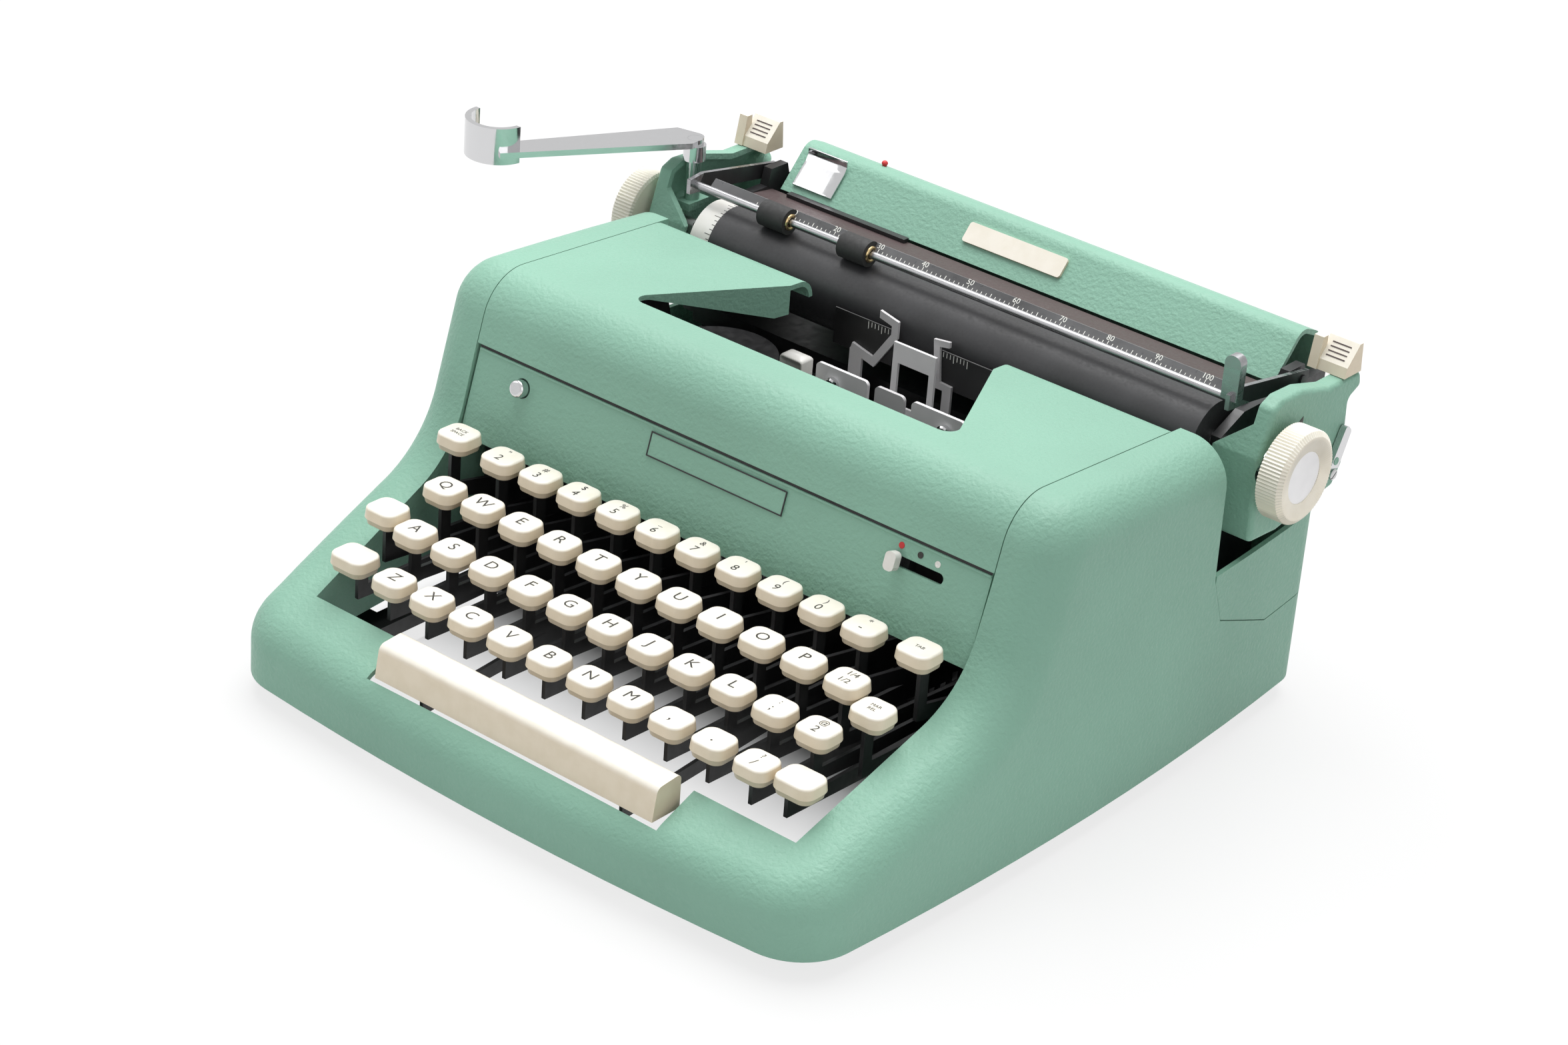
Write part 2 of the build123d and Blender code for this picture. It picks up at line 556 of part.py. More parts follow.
def cover_block(inset, x_from, x_to):
    # The end cover's side view with its corners rounded, drawn in by a wall, between two planes
    outline = COVER_FRONT + [(LEDGE_FRONT, LEDGE_Z), (LEDGE_REAR, LEDGE_Z)] + COVER_REAR
    with BuildPart() as block:
        with BuildSketch(Plane.YZ.offset(x_from)) as side:
            with BuildLine():
                Polyline(*outline, close=True)
            make_face()
            fillet(side.vertices(), 2.6)
            if inset > 0:
                offset(amount=-inset, mode=Mode.REPLACE)
        extrude(amount=x_to - x_from)
    return block.part


def end_cover(side):
    # Pressed side plate of the carriage: a deep front wall below, a narrow flange along the top
    with BuildPart() as gap:
        with BuildSketch(Plane.XZ.offset(-230)):
            with BuildLine():
                Polyline((END_OUT - 1, FLANGE_LOW), (FLANGE_IN, FLANGE_HIGH), (FLANGE_IN, 150),
                         (END_OUT - 1, 150), close=True)
            make_face()
        extrude(amount=100)
    with BuildPart() as cover:
        add(cover_block(0, END_OUT, COVER_OUT))
        fillet(cover.edges().group_by(Axis.X)[-1], 2.2)
        add(cover_block(COVER_WALL, END_OUT - 1, COVER_OUT - COVER_WALL), mode=Mode.SUBTRACT)
        add(gap.part, mode=Mode.SUBTRACT)
        add(bar(END_OUT, COVER_OUT + 1, AXIS_Y, AXIS_Z, SHAFT_OPENING_R), mode=Mode.SUBTRACT)
    if side > 0:
        pin = bar(COVER_OUT - 1, COVER_OUT + 3, RELEASE_Y, RELEASE_Z, RELEASE_R)
        return joined(cover.part, pin)
    reach = 6
    bracket = brick((1 - COVER_OUT, LEVER_PIVOT_Y - reach, 124),
                    (LEVER_PIVOT_X + 4, LEVER_PIVOT_Y + reach, 127))
    stud = post(LEVER_PIVOT_X, LEVER_PIVOT_Y, 124, LEVER_Z + 2.4, 3)
    return joined(mirror(cover.part, about=Plane.YZ), bracket, stud)


def paper_cover():
    line = [COVER_LOW, COVER_TOP, COVER_BACK, COVER_TAIL]
    inside = [(COVER_LOW[0] + 2, COVER_LOW[1] - 0.6), (COVER_TOP[0] + 0.4, COVER_TOP[1] - 2.2),
              (COVER_BACK[0] - 1.4, COVER_BACK[1] - 1.6), (COVER_TAIL[0] - 1.8, COVER_TAIL[1])]
    return slab(line + inside[::-1], -COVER_HALF, COVER_HALF, rounds=[(1, 7), (2, 6), (6, 5), (5, 4.5)])


def cover_plane(x, along):
    # A plane on the paper cover's front slope, a share along from its lower edge to its top
    dy, dz = COVER_TOP[0] - COVER_LOW[0], COVER_TOP[1] - COVER_LOW[1]
    origin = (x, COVER_LOW[0] + along * dy, COVER_LOW[1] + along * dz)
    return Plane(origin=origin, x_dir=(1, 0, 0), z_dir=(0, -dz, dy))


def cover_tile(x, along, width, height, thick):
    with BuildPart() as piece:
        with BuildSketch(cover_plane(x, along)):
            RectangleRounded(width, height, 1.2)
        extrude(amount=thick)
    return piece.part


def paper_table():
    sheet = slab([(164.5, 129.8), (172, 128.4), (189, 126.2), (189, 125.2), (172, 127.4), (164.5, 128.6)],
                 -END_IN, END_IN)
    return joined(sheet, cuts=[brick((-42, 170, 120), (-20, 174, 135))])


def bail():
    # Bar across the platen, its two arms outside the carriage ends, and a thumb tab at the right
    y, z, back, low = BAIL_Y, BAIL_Z, BAIL_PIVOT_Y, BAIL_PIVOT_Z
    rod = bar(-ARM_OUT, ARM_OUT, y, z, BAIL_R)
    arm = slab([(y - 4, z - 3), (y - 4, z + 3), (y + 4, z + 4), (back + 4, low + 3), (back + 4, low - 3),
                (y + 10, z - 4)], ARM_IN, ARM_OUT)
    with BuildPart() as tab:
        add(brick((TAB_IN, y - 2, z), (TAB_OUT, y + 2, z + TAB_TALL)))
        fillet(tab.edges().filter_by(Axis.Y).group_by(Axis.Z)[-1], TAB_ROUND)
    pivot = bar(-150, 150, back, low, PIN_R + RUNNING)
    return joined(rod, both_sides(arm), tab.part, cuts=[pivot])


def bail_rollers():
    rollers = [bar(x, x + 13, BAIL_Y, BAIL_Z, ROLLER_R) for x in (-92, -52)]
    return joined(*rollers, cuts=[bar(-150, 150, BAIL_Y, BAIL_Z, BAIL_R + RUNNING)])


def platen():
    return joined(bar(-PLATEN_HALF + 9.5, PLATEN_HALF, AXIS_Y, AXIS_Z, PLATEN_R),
                  cuts=[bar(-130, 130, AXIS_Y, AXIS_Z, SHAFT_R)])


def line_dial():
    return joined(bar(-PLATEN_HALF, -PLATEN_HALF + 9.5, AXIS_Y, AXIS_Z, PLATEN_R - 0.4),
                  cuts=[bar(-130, 130, AXIS_Y, AXIS_Z, SHAFT_R)])


def knob(side):
    disc = joined(bar(KNOB_IN, KNOB_OUT, AXIS_Y, AXIS_Z, KNOB_R),
                  cuts=[bar(KNOB_OUT - KNOB_DISH, KNOB_OUT + 1, AXIS_Y, AXIS_Z, KNOB_CAP_R),
                        bar(KNOB_IN - 1, KNOB_OUT + 1, AXIS_Y, AXIS_Z, SHAFT_R)])
    return disc if side > 0 else mirror(disc, about=Plane.YZ)


def knob_caps():
    return both_sides(bar(KNOB_OUT - KNOB_DISH, KNOB_OUT - 1.5, AXIS_Y, AXIS_Z, KNOB_CAP_R))


def return_lever():
    x, y = LEVER_PIVOT_X, LEVER_PIVOT_Y
    with BuildPart() as piece:
        with BuildSketch(Plane.XY.offset(LEVER_Z)) as plan:
            with BuildLine():
                Polyline((x + 3, y - 5), (x + 2, y + 6), (x - 12, y + 3), (x - 48, y - 64), (x - 39, y - 70),
                         close=True)
            make_face()
            fillet(plan.vertices().group_by(Axis.Y)[-1], 4)
        extrude(amount=2.4)
        with BuildSketch(Plane.XY.offset(LEVER_Z - 4)):
            with Locations((x - 51, y - 59)):
                Circle(13)
                Circle(10.8, mode=Mode.SUBTRACT)
                with Locations((14, 14), (-14, 16)):
                    Rectangle(30, 30, mode=Mode.SUBTRACT)
        extrude(amount=15)
        add(post(x, y, 143.6, LEVER_Z, 4.5))
        add(post(x, y, 130, LEVER_Z + 3, 3 + RUNNING), mode=Mode.SUBTRACT)
    return piece.part


def margin_lever(side):
    # A sloping key with an upright tab at its left, sliding on the end cover's ledge
    low, top = LEDGE_Z + LEDGE_GAP, MARGIN_TOP
    left = MARGIN_LEFT if side > 0 else -MARGIN_RIGHT
    right = left + MARGIN_RIGHT - MARGIN_LEFT
    tab = slab([(192.5, low), (198, low), (198, top), (195, top)], left, left + MARGIN_TAB)
    ramp = slab([(193, low), (204, low), (203, top - 0.5), (201, top - 0.5), (194, low + 4)],
                left + MARGIN_TAB - 1, right)
    return joined(tab, ramp)


def paper_release_lever():
    blade = slab([(187.5, 104), (193, 102.5), (199, 116), (195.5, 119.5)], COVER_OUT + 0.4, COVER_OUT + 2.8,
                 rounds=[(2, 1.5), (3, 1.5)])
    return joined(blade, cuts=[bar(COVER_OUT, COVER_OUT + 4, RELEASE_Y, RELEASE_Z, RELEASE_R + RUNNING)])


# Pieces

def build():
    pieces = {
        "body_shell": body_shell(), "front_panel": front_panel(), "name_plate": name_plate(),
        "rear_panel": rear_panel(), "base_frame": base_frame(), "side_plates": side_plates(),
        "rear_plate": rear_plate(), "mainspring_drum": mainspring_drum(), "key_comb": key_comb(),
        "key_fulcrum_rod": bar(-PLATE_IN, PLATE_IN, FULCRUM_Y, FULCRUM_Z, FULCRUM_R),
        "feet": repeated(post(0, 0, 0, CASE_BOTTOM, FOOT_R),
                         [(x, y, 0) for x in (-FOOT_X, FOOT_X) for y in (FOOT_FRONT, FOOT_REAR)]),
        "top_hood": top_hood(), "hood_button": hood_button(), "ribbon_selector": ribbon_selector(),
        "type_segment": type_segment(), "typebars": typebars(), "type_guide": type_guide(),
        "card_holders": card_holders(), "guide_plates": guide_plates(), "spool_cups": spool_cups(),
        "spool_left": ribbon_spool(-SPOOL_X), "spool_right": ribbon_spool(SPOOL_X),
        "ribbon_vibrator": ribbon_vibrator(), "carriage_rails": carriage_rails(),
        "carriage_frame": carriage_frame(), "end_cover_left": end_cover(-1), "end_cover_right": end_cover(1),
        "paper_cover": paper_cover(), "cover_badge": cover_tile(-7, 0.48, 47, 8.5, 1.2),
        "paper_clip": cover_tile(-104, 0.5, 20, 17, 1.5), "paper_table": paper_table(),
        "margin_scale": brick((-112, 186, 126.6), (-52, 189, 128.2)),
        "platen": platen(),
        "platen_shaft": bar(KNOB_DISH - KNOB_OUT, KNOB_OUT - KNOB_DISH, AXIS_Y, AXIS_Z, SHAFT_R),
        "line_dial": line_dial(), "knob_left": knob(-1), "knob_right": knob(1), "knob_caps": knob_caps(),
        "bail": bail(), "bail_rollers": bail_rollers(),
        "return_lever": return_lever(), "margin_lever_left": margin_lever(-1),
        "margin_lever_right": margin_lever(1), "paper_release_lever": paper_release_lever(),
        "key_backspace": special_key(-109, -1, 86, -111), "key_tab": special_key(108.5, -1, 86, 111),
        "key_shift_lock": special_key(-108, -38.5, 68.5, -107, row=2),
        "key_margin_release": special_key(108.5, -24, 71.5, 107, row=1),
        "shift_key_left": special_key(-105.5, -57, 57, -102, row=3, width=SHIFT_WIDTH),
        "shift_key_right": special_key(105.5, -57, 57, 102, row=3, width=SHIFT_WIDTH),
    }
    pieces["space_bar"], pieces["space_bar_arms"] = space_bar()
    for row, (name, *_) in enumerate(ROWS):
        pieces[f"keys_{name}_row"], pieces[f"levers_{name}_row"] = key_row(row)
    return pieces


if __name__ == "__main__":
    low, high = [1e9] * 3, [-1e9] * 3
    for name, piece in build().items():
        save(name, piece)
        box = piece.bounding_box()
        low = [min(a, b) for a, b in zip(low, tuple(box.min))]
        high = [max(a, b) for a, b in zip(high, tuple(box.max))]
        print(name, len(piece.solids()), piece.is_valid, round(piece.volume))
    print("box", [round(v, 2) for v in low], [round(v, 2) for v in high])
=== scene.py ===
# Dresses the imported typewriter: a finish for every piece, and the small parts that the solids leave out
import math

import bpy
from mathutils import Matrix, Vector


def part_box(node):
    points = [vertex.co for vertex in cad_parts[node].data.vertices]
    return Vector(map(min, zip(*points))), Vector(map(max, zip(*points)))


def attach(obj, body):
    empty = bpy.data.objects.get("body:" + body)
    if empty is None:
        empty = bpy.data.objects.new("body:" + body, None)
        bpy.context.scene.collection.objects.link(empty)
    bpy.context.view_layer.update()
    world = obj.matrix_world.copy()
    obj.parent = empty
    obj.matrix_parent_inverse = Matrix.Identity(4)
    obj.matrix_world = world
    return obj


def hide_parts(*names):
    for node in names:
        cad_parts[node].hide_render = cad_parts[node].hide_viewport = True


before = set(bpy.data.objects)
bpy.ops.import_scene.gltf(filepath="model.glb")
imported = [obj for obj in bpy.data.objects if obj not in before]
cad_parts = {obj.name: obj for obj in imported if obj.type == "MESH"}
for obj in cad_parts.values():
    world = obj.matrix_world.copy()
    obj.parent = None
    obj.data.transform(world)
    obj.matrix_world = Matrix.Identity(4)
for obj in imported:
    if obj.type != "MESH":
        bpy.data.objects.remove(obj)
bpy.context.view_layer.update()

MM = 0.001

# Sizes of the solids that the finishes and the small parts are set out from
CAP_HALF, CAP_HEIGHT = 7.5 * MM, 6.6 * MM
SHELF_THICK, SELECTOR_TIP = 4 * MM, 4.8 * MM
BAIL_ARM_TALL, BAIL_ARM_FRONT = 13.5 * MM, 8.5 * MM
BAIL_ROD_Y, BAIL_ROD_Z, ROLLER_LENGTH = 82.5 * MM, 137.6 * MM, 13 * MM
PANEL_OUT, PANEL_SLOPE, PANEL_THICK = Vector((0, -0.9606, 0.2781)), 0.2895, 2 * MM
RELEASE_PIN = 3 * MM

# A face looks along an axis when this share of its normal does, and is past a place by more than the slack
ALONG, SLACK = 0.9, 0.05 * MM
INK_THICK = 0.12 * MM

SPECIAL_KEYS = ["key_backspace", "key_tab", "key_shift_lock", "key_margin_release", "shift_key_left",
                "shift_key_right"]


# Finishes

def finish(name, colour, roughness, metallic=0.0):
    material = bpy.data.materials.new(name)
    material.use_nodes = True
    shader = material.node_tree.nodes["Principled BSDF"]
    shader.inputs["Base Color"].default_value = (*colour, 1)
    shader.inputs["Roughness"].default_value = roughness
    shader.inputs["Metallic"].default_value = metallic
    return material, material.node_tree.nodes, material.node_tree.links, shader


def noise(nodes, links, scale, detail=3.0, stretch=(1, 1, 1)):
    where = nodes.new("ShaderNodeTexCoord")
    mapping = nodes.new("ShaderNodeMapping")
    mapping.inputs["Scale"].default_value = stretch
    grain = nodes.new("ShaderNodeTexNoise")
    grain.inputs["Scale"].default_value = scale
    grain.inputs["Detail"].default_value = detail
    links.new(where.outputs["Object"], mapping.inputs["Vector"])
    links.new(mapping.outputs["Vector"], grain.inputs["Vector"])
    return grain.outputs["Fac"]


def ramp(nodes, links, value, stops):
    # Colours a value from 0 to 1 by stops, each a position and its colour
    band = nodes.new("ShaderNodeValToRGB")
    while len(band.color_ramp.elements) < len(stops):
        band.color_ramp.elements.new(0.5)
    for element, (position, colour) in zip(band.color_ramp.elements, stops):
        element.position = position
        element.color = (*colour, 1)
    links.new(value, band.inputs["Fac"])
    return band.outputs["Color"]


def bump(nodes, links, shader, value, depth, strength=1.0):
    relief = nodes.new("ShaderNodeBump")
    relief.inputs["Distance"].default_value = depth
    relief.inputs["Strength"].default_value = strength
    links.new(value, relief.inputs["Height"])
    links.new(relief.outputs["Normal"], shader.inputs["Normal"])


def tint(colour, factor):
    return tuple(min(1.0, c * factor) for c in colour)


def grey(level):
    return (level,) * 3


def crinkle_paint(name, colour, relief=0.45 * MM):
    # Baked crinkle enamel: broad soft patches of tone, and a fine pebbled skin
    material, nodes, links, shader = finish(name, colour, roughness=0.45)
    shader.inputs["Specular IOR Level"].default_value = 0.25
    patches = noise(nodes, links, scale=9, detail=4)
    tones = ramp(nodes, links, patches, [(0.3, tint(colour, 0.92)), (0.7, tint(colour, 1.07))])
    links.new(tones, shader.inputs["Base Color"])
    pebbles = noise(nodes, links, scale=620, detail=2)
    dulling = ramp(nodes, links, pebbles, [(0.3, grey(0.38)), (0.7, grey(0.56))])
    links.new(dulling, shader.inputs["Roughness"])
    bump(nodes, links, shader, pebbles, relief, strength=0.8)
    return material


def moulded_plastic(name, colour, shaded_side_colour):
    # Moulded plastic with painted shade: the given colour on top, the darker, warmer side colour down the
    # sides, and darker still where the surface faces down
    material, nodes, links, shader = finish(name, colour, roughness=0.32)
    surface = nodes.new("ShaderNodeNewGeometry")
    parts = nodes.new("ShaderNodeSeparateXYZ")
    upward = nodes.new("ShaderNodeMapRange")
    upward.inputs["From Min"].default_value = -1
    links.new(surface.outputs["Normal"], parts.inputs["Vector"])
    links.new(parts.outputs["Z"], upward.inputs["Value"])
    # Painted shade from the surface's normal: darker down the sides and where it faces down
    painted_side_shade = ramp(nodes, links, upward.outputs["Result"],
                 [(0.44, tint(shaded_side_colour, 0.80)), (0.52, tint(shaded_side_colour, 1.1)), (0.85, colour)])
    specks = ramp(nodes, links, noise(nodes, links, scale=160, detail=4),
                  [(0.25, (0.94, 0.93, 0.90)), (0.6, grey(1))])
    mix = nodes.new("ShaderNodeMix")
    mix.data_type = "RGBA"
    mix.blend_type = "MULTIPLY"
    mix.inputs["Factor"].default_value = 1.0
    links.new(painted_side_shade, mix.inputs["A"])
    links.new(specks, mix.inputs["B"])
    links.new(mix.outputs["Result"], shader.inputs["Base Color"])
    bump(nodes, links, shader, noise(nodes, links, scale=420, detail=2), depth=0.03 * MM, strength=0.3)
    return material


def polished_metal(name, colour, roughness, stretch=(1, 1, 1)):
    # Plated metal with fine scratches, which run along the axis that the grain is stretched on
    material, nodes, links, shader = finish(name, colour, roughness, metallic=1.0)
    scratches = noise(nodes, links, scale=500, stretch=stretch)
    dulling = ramp(nodes, links, scratches, [(0.3, grey(roughness * 0.6)), (0.75, grey(roughness * 1.5))])
    links.new(dulling, shader.inputs["Roughness"])
    bump(nodes, links, shader, scratches, depth=0.015 * MM, strength=0.25)
    return material


def nickel_plate(name, colour):
    # Matt plated sheet with faint stains
    material, nodes, links, shader = finish(name, colour, roughness=0.35, metallic=0.1)
    stains = ramp(nodes, links, noise(nodes, links, scale=60, detail=5),
                  [(0.3, tint(colour, 0.9)), (0.65, colour)])
    links.new(stains, shader.inputs["Base Color"])
    bump(nodes, links, shader, noise(nodes, links, scale=700, detail=2), depth=0.02 * MM, strength=0.3)
    return material


def dull_black(name, colour, roughness, scale=300, relief=0.05 * MM):
    # Dusty enamel or rubber
    material, nodes, links, shader = finish(name, colour, roughness)
    dust = ramp(nodes, links, noise(nodes, links, scale=40, detail=5),
                [(0.35, tint(colour, 0.8)), (0.75, tint(colour, 1.5))])
    links.new(dust, shader.inputs["Base Color"])
    grain = noise(nodes, links, scale)
    dulling = ramp(nodes, links, grain, [(0.3, grey(roughness - 0.08)), (0.7, grey(roughness + 0.08))])
    links.new(dulling, shader.inputs["Roughness"])
    bump(nodes, links, shader, grain, relief, strength=0.4)
    return material


def ink(name, colour):
    material, nodes, links, shader = finish(name, colour, roughness=0.5)
    wear = ramp(nodes, links, noise(nodes, links, scale=900), [(0.25, tint(colour, 1.35)), (0.5, colour)])
    links.new(wear, shader.inputs["Base Color"])
    return material


LENGTHWISE = (0.2, 1, 1)

green_crinkle = crinkle_paint("green_crinkle", (0.240, 0.440, 0.340))
brown_crinkle = crinkle_paint("brown_crinkle", (0.085, 0.062, 0.062), relief=0.25 * MM)
# For each plastic, the second colour is the painted shade of its sides
cream_plastic = moulded_plastic("cream_plastic", (0.86, 0.82, 0.73), (0.72, 0.62, 0.47))
knob_plastic = moulded_plastic("knob_plastic", (0.86, 0.83, 0.74), (0.84, 0.78, 0.66))
white_plastic = moulded_plastic("white_plastic", (0.76, 0.75, 0.72), (0.72, 0.71, 0.67))
bright_chrome = polished_metal("bright_chrome", (0.66, 0.66, 0.67), roughness=0.12)
satin_steel = polished_metal("satin_steel", (0.58, 0.58, 0.58), roughness=0.32, stretch=LENGTHWISE)
# Painted shade: a darker copy of the satin steel for the bail, so that it shows dark instead of mirroring
# the white sky
steel_painted_dark = polished_metal("steel_painted_dark", (0.36, 0.36, 0.37), roughness=0.30, stretch=LENGTHWISE)
old_brass = polished_metal("old_brass", (0.62, 0.47, 0.25), roughness=0.24)
nickel = nickel_plate("nickel", (0.94, 0.93, 0.94))
dull_nickel = nickel_plate("dull_nickel", (0.66, 0.65, 0.66))
scale_metal = dull_black("scale_metal", (0.075, 0.075, 0.078), roughness=0.34)
black_enamel = dull_black("black_enamel", (0.014, 0.014, 0.015), roughness=0.38)
platen_rubber = dull_black("platen_rubber", (0.022, 0.022, 0.024), roughness=0.5, scale=900,
                           relief=0.02 * MM)
# Black rubber, also used as the painted shade of the seam under the hood's front edge
black_rubber = dull_black("black_rubber", (0.018, 0.018, 0.018), roughness=0.68, scale=700,
                          relief=0.08 * MM)
black_ink = ink("black_ink", (0.02, 0.018, 0.015))
white_ink = ink("white_ink", (0.72, 0.72, 0.68))
red_ink = ink("red_ink", (0.55, 0.03, 0.03))

FINISHES = {
    green_crinkle: ["body_shell", "front_panel", "rear_panel", "top_hood", "name_plate", "paper_cover",
                    "end_cover_left", "end_cover_right"],
    cream_plastic: ["keys_number_row", "keys_q_row", "keys_a_row", "keys_z_row", *SPECIAL_KEYS, "space_bar",
                    "margin_lever_left", "margin_lever_right", "cover_badge"],
    white_plastic: ["line_dial"],
    black_enamel: ["base_frame", "side_plates", "rear_plate", "key_comb", "type_segment", "spool_cups",
                   "levers_number_row", "levers_q_row", "levers_a_row", "levers_z_row", "space_bar_arms",
                   "margin_scale", "type_guide", "ribbon_selector", "spool_left", "spool_right",
                   "carriage_rails", "carriage_frame"],
    satin_steel: ["mainspring_drum", "key_fulcrum_rod", "typebars", "platen_shaft"],
    # The bail's steel is painted darker, as painted shade
    steel_painted_dark: ["bail"],
    bright_chrome: ["paper_clip", "return_lever", "paper_release_lever", "hood_button"],
    nickel: ["ribbon_vibrator", "guide_plates", "knob_caps"],
    dull_nickel: ["card_holders"],
    platen_rubber: ["platen"],
    black_rubber: ["feet", "bail_rollers"],
    brown_crinkle: ["paper_table"],
}


def paint_nodes():
    for material, names in FINISHES.items():
        for name in names:
            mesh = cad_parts[name].data
            mesh.materials.clear()
            mesh.materials.append(material)


def second_finish(node, material, test):
    # Gives a second finish to the faces of a solid that pass a test on their middle and normal
    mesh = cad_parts[node].data
    mesh.materials.append(material)
    for face in mesh.polygons:
        if test(face.center, face.normal):
            face.material_index = 1


def paint_second_finishes():
    for node in SPECIAL_KEYS:
        cap_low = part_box(node)[1].z - CAP_HEIGHT
        second_finish(node, black_enamel, lambda middle, out: middle.z < cap_low - SLACK)
    shelf_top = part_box("type_guide")[0].z + SHELF_THICK
    second_finish("type_guide", dull_nickel, lambda middle, out: middle.z > shelf_top + SLACK)
    cover_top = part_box("end_cover_right")[1].z
    second_finish("end_cover_left", bright_chrome, lambda middle, out: middle.z > cover_top)
    low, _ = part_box("bail")
    arm_top, arm_front = low.z + BAIL_ARM_TALL, low.y + BAIL_ARM_FRONT
    second_finish("bail", black_enamel,
                  lambda middle, out: abs(out.x) > ALONG and middle.z < arm_top and middle.y > arm_front)
    tip_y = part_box("ribbon_selector")[0].y + SELECTOR_TIP
    second_finish("ribbon_selector", white_plastic, lambda middle, out: middle.y < tip_y)


# Modelling helpers

def deselect():
    bpy.ops.object.select_all(action="DESELECT")


def pick(piece):
    deselect()
    piece.select_set(True)
    bpy.context.view_layer.objects.active = piece


def settle():
    # Moves the active object's place, turn and size into its mesh
    bpy.ops.object.transform_apply(location=True, rotation=True, scale=True)


def start(name):
    # Names the primitive that was just added and settles it
    piece = bpy.context.active_object
    piece.name = name
    piece.data.name = name
    settle()
    return piece


def start_sheet(name, width, tall):
    # As start, for a unit sheet that is stretched first
    bpy.ops.transform.resize(value=(width, tall, 1))
    return start(name)


def choose(piece, kind, test):
    # Selects the faces or points of a piece that pass a test, and goes on in edit mode
    bpy.ops.object.mode_set(mode="EDIT")
    bpy.ops.mesh.select_mode(type=kind)
    bpy.ops.mesh.select_all(action="DESELECT")
    bpy.ops.object.mode_set(mode="OBJECT")
    elements = piece.data.polygons if kind == "FACE" else piece.data.vertices
    for element in elements:
        element.select = test(element)
    bpy.ops.object.mode_set(mode="EDIT")


def done():
    bpy.ops.object.mode_set(mode="OBJECT")


def smooth(piece, angle=35):
    pick(piece)
    bpy.ops.object.shade_smooth_by_angle(angle=math.radians(angle))


def bevel(piece, width, segments=2):
    rounding = piece.modifiers.new("rounding", "BEVEL")
    rounding.width = width
    rounding.segments = segments
    rounding.limit_method = "ANGLE"
    pick(piece)
    bpy.ops.object.modifier_apply(modifier="rounding")


def thicken(piece, thickness):
    wall = piece.modifiers.new("wall", "SOLIDIFY")
    wall.thickness = thickness
    pick(piece)
    bpy.ops.object.modifier_apply(modifier="wall")


def block(name, low, high):
    deselect()
    low, high = Vector(low), Vector(high)
    bpy.ops.mesh.primitive_cube_add(size=1, location=(low + high) / 2, scale=high - low)
    return start(name)


def slab(name, length, width, thick):
    # A block with its middle at the origin
    half = Vector((length, width, thick)) / 2
    return block(name, -half, half)


def join(name, pieces):
    deselect()
    for piece in pieces:
        piece.select_set(True)
    bpy.context.view_layer.objects.active = pieces[0]
    bpy.ops.object.join()
    pieces[0].name = name
    pieces[0].data.name = name
    return pieces[0]


def facing(right, out):
    # The turn whose X is right and whose Z is out
    right, out = Vector(right).normalized(), Vector(out).normalized()
    return Matrix((right, out.cross(right), out)).transposed()


FLAT = facing((1, 0, 0), (0, 0, 1))


def place(piece, spot, turn):
    # Stands a piece that was modelled at the origin on a spot, and settles it there
    pick(piece)
    piece.matrix_world = Matrix.Translation(spot) @ turn.to_4x4()
    settle()


def word(text, size, spot, turn):
    # A word as a thin mesh with its middle on a spot, read along the turn's X with its face to the turn's Z
    deselect()
    bpy.ops.object.text_add()
    letters = bpy.context.active_object.data
    letters.body = text
    letters.size = size
    letters.align_x = "CENTER"
    letters.align_y = "CENTER"
    letters.extrude = INK_THICK / 2
    letters.resolution_u = 3
    bpy.ops.object.convert(target="MESH")
    piece = bpy.context.active_object
    place(piece, spot, turn)
    return piece


def dress(piece, material, body):
    piece.data.materials.clear()
    piece.data.materials.append(material)
    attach(piece, body)


# Keyboard

KEY_ROWS = {
    "number": (list("234567890-"), list("\"#$%_&'()*")),
    "q": (list("QWERTYUIOP") + ["1/2"], [""] * 10 + ["1/4"]),
    "a": (list("ASDFGHJKL;2"), [""] * 9 + [":", "@"]),
    "z": (list("ZXCVBNM,./"), [""] * 9 + ["?"]),
}
LETTER, DIGIT, SMALL_LETTER = 6.9 * MM, 5.4 * MM, 3.9 * MM
UPPER_RISE, LOWER_DROP = Vector((0, 2.9 * MM, 0)), Vector((0, 2.2 * MM, 0))
KEY_WORDS = {"key_tab": ["TAB"], "key_backspace": ["BACK", "SPACE"], "key_margin_release": ["MAR", "REL"]}
WORD_LETTER, WORD_STEP, WORD_DROP = 2.2 * MM, 2.6 * MM, 0.5 * MM


def row_middles(node, count):
    low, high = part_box(node)
    first, last = low.x + CAP_HALF, high.x - CAP_HALF
    step = (last - first) / (count - 1)
    return [Vector((first + step * i, (low.y + high.y) / 2, high.z)) for i in range(count)]


def key_letters():
    for row, (lower, upper) in KEY_ROWS.items():
        letters = []
        for middle, below, above in zip(row_middles(f"keys_{row}_row", len(lower)), lower, upper):
            if above:
                size = DIGIT if len(below) == 1 else SMALL_LETTER
                letters.append(word(above, SMALL_LETTER, middle + UPPER_RISE, FLAT))
                letters.append(word(below, size, middle - LOWER_DROP, FLAT))
            else:
                letters.append(word(below, LETTER, middle, FLAT))
        dress(join(f"letters_{row}_row", letters), black_ink, f"{row}_row")
    for node, lines in KEY_WORDS.items():
        low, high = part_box(node)
        top_line = low.y + CAP_HALF - WORD_DROP + WORD_STEP * (len(lines) - 1) / 2
        spots = [Vector(((low.x + high.x) / 2, top_line - WORD_STEP * i, high.z)) for i in range(len(lines))]
        letters = [word(line, WORD_LETTER, spot, FLAT) for line, spot in zip(lines, spots)]
        dress(join(f"letters_{node}", letters), black_ink, node)


# Knobs

KNURLS, KNURL_DEPTH = 84, 0.45 * MM
KNOB_LIP, KNOB_RIM, KNOB_DISH = 1.5 * MM, 1.2 * MM, 1.2 * MM
KNOB_WELL, KNOB_WELL_RADIUS = 2.4 * MM, 11.6 * MM
KNOB_BACK_EDGE, KNOB_BACK_DEPTH = 1.0 * MM, 0.6 * MM


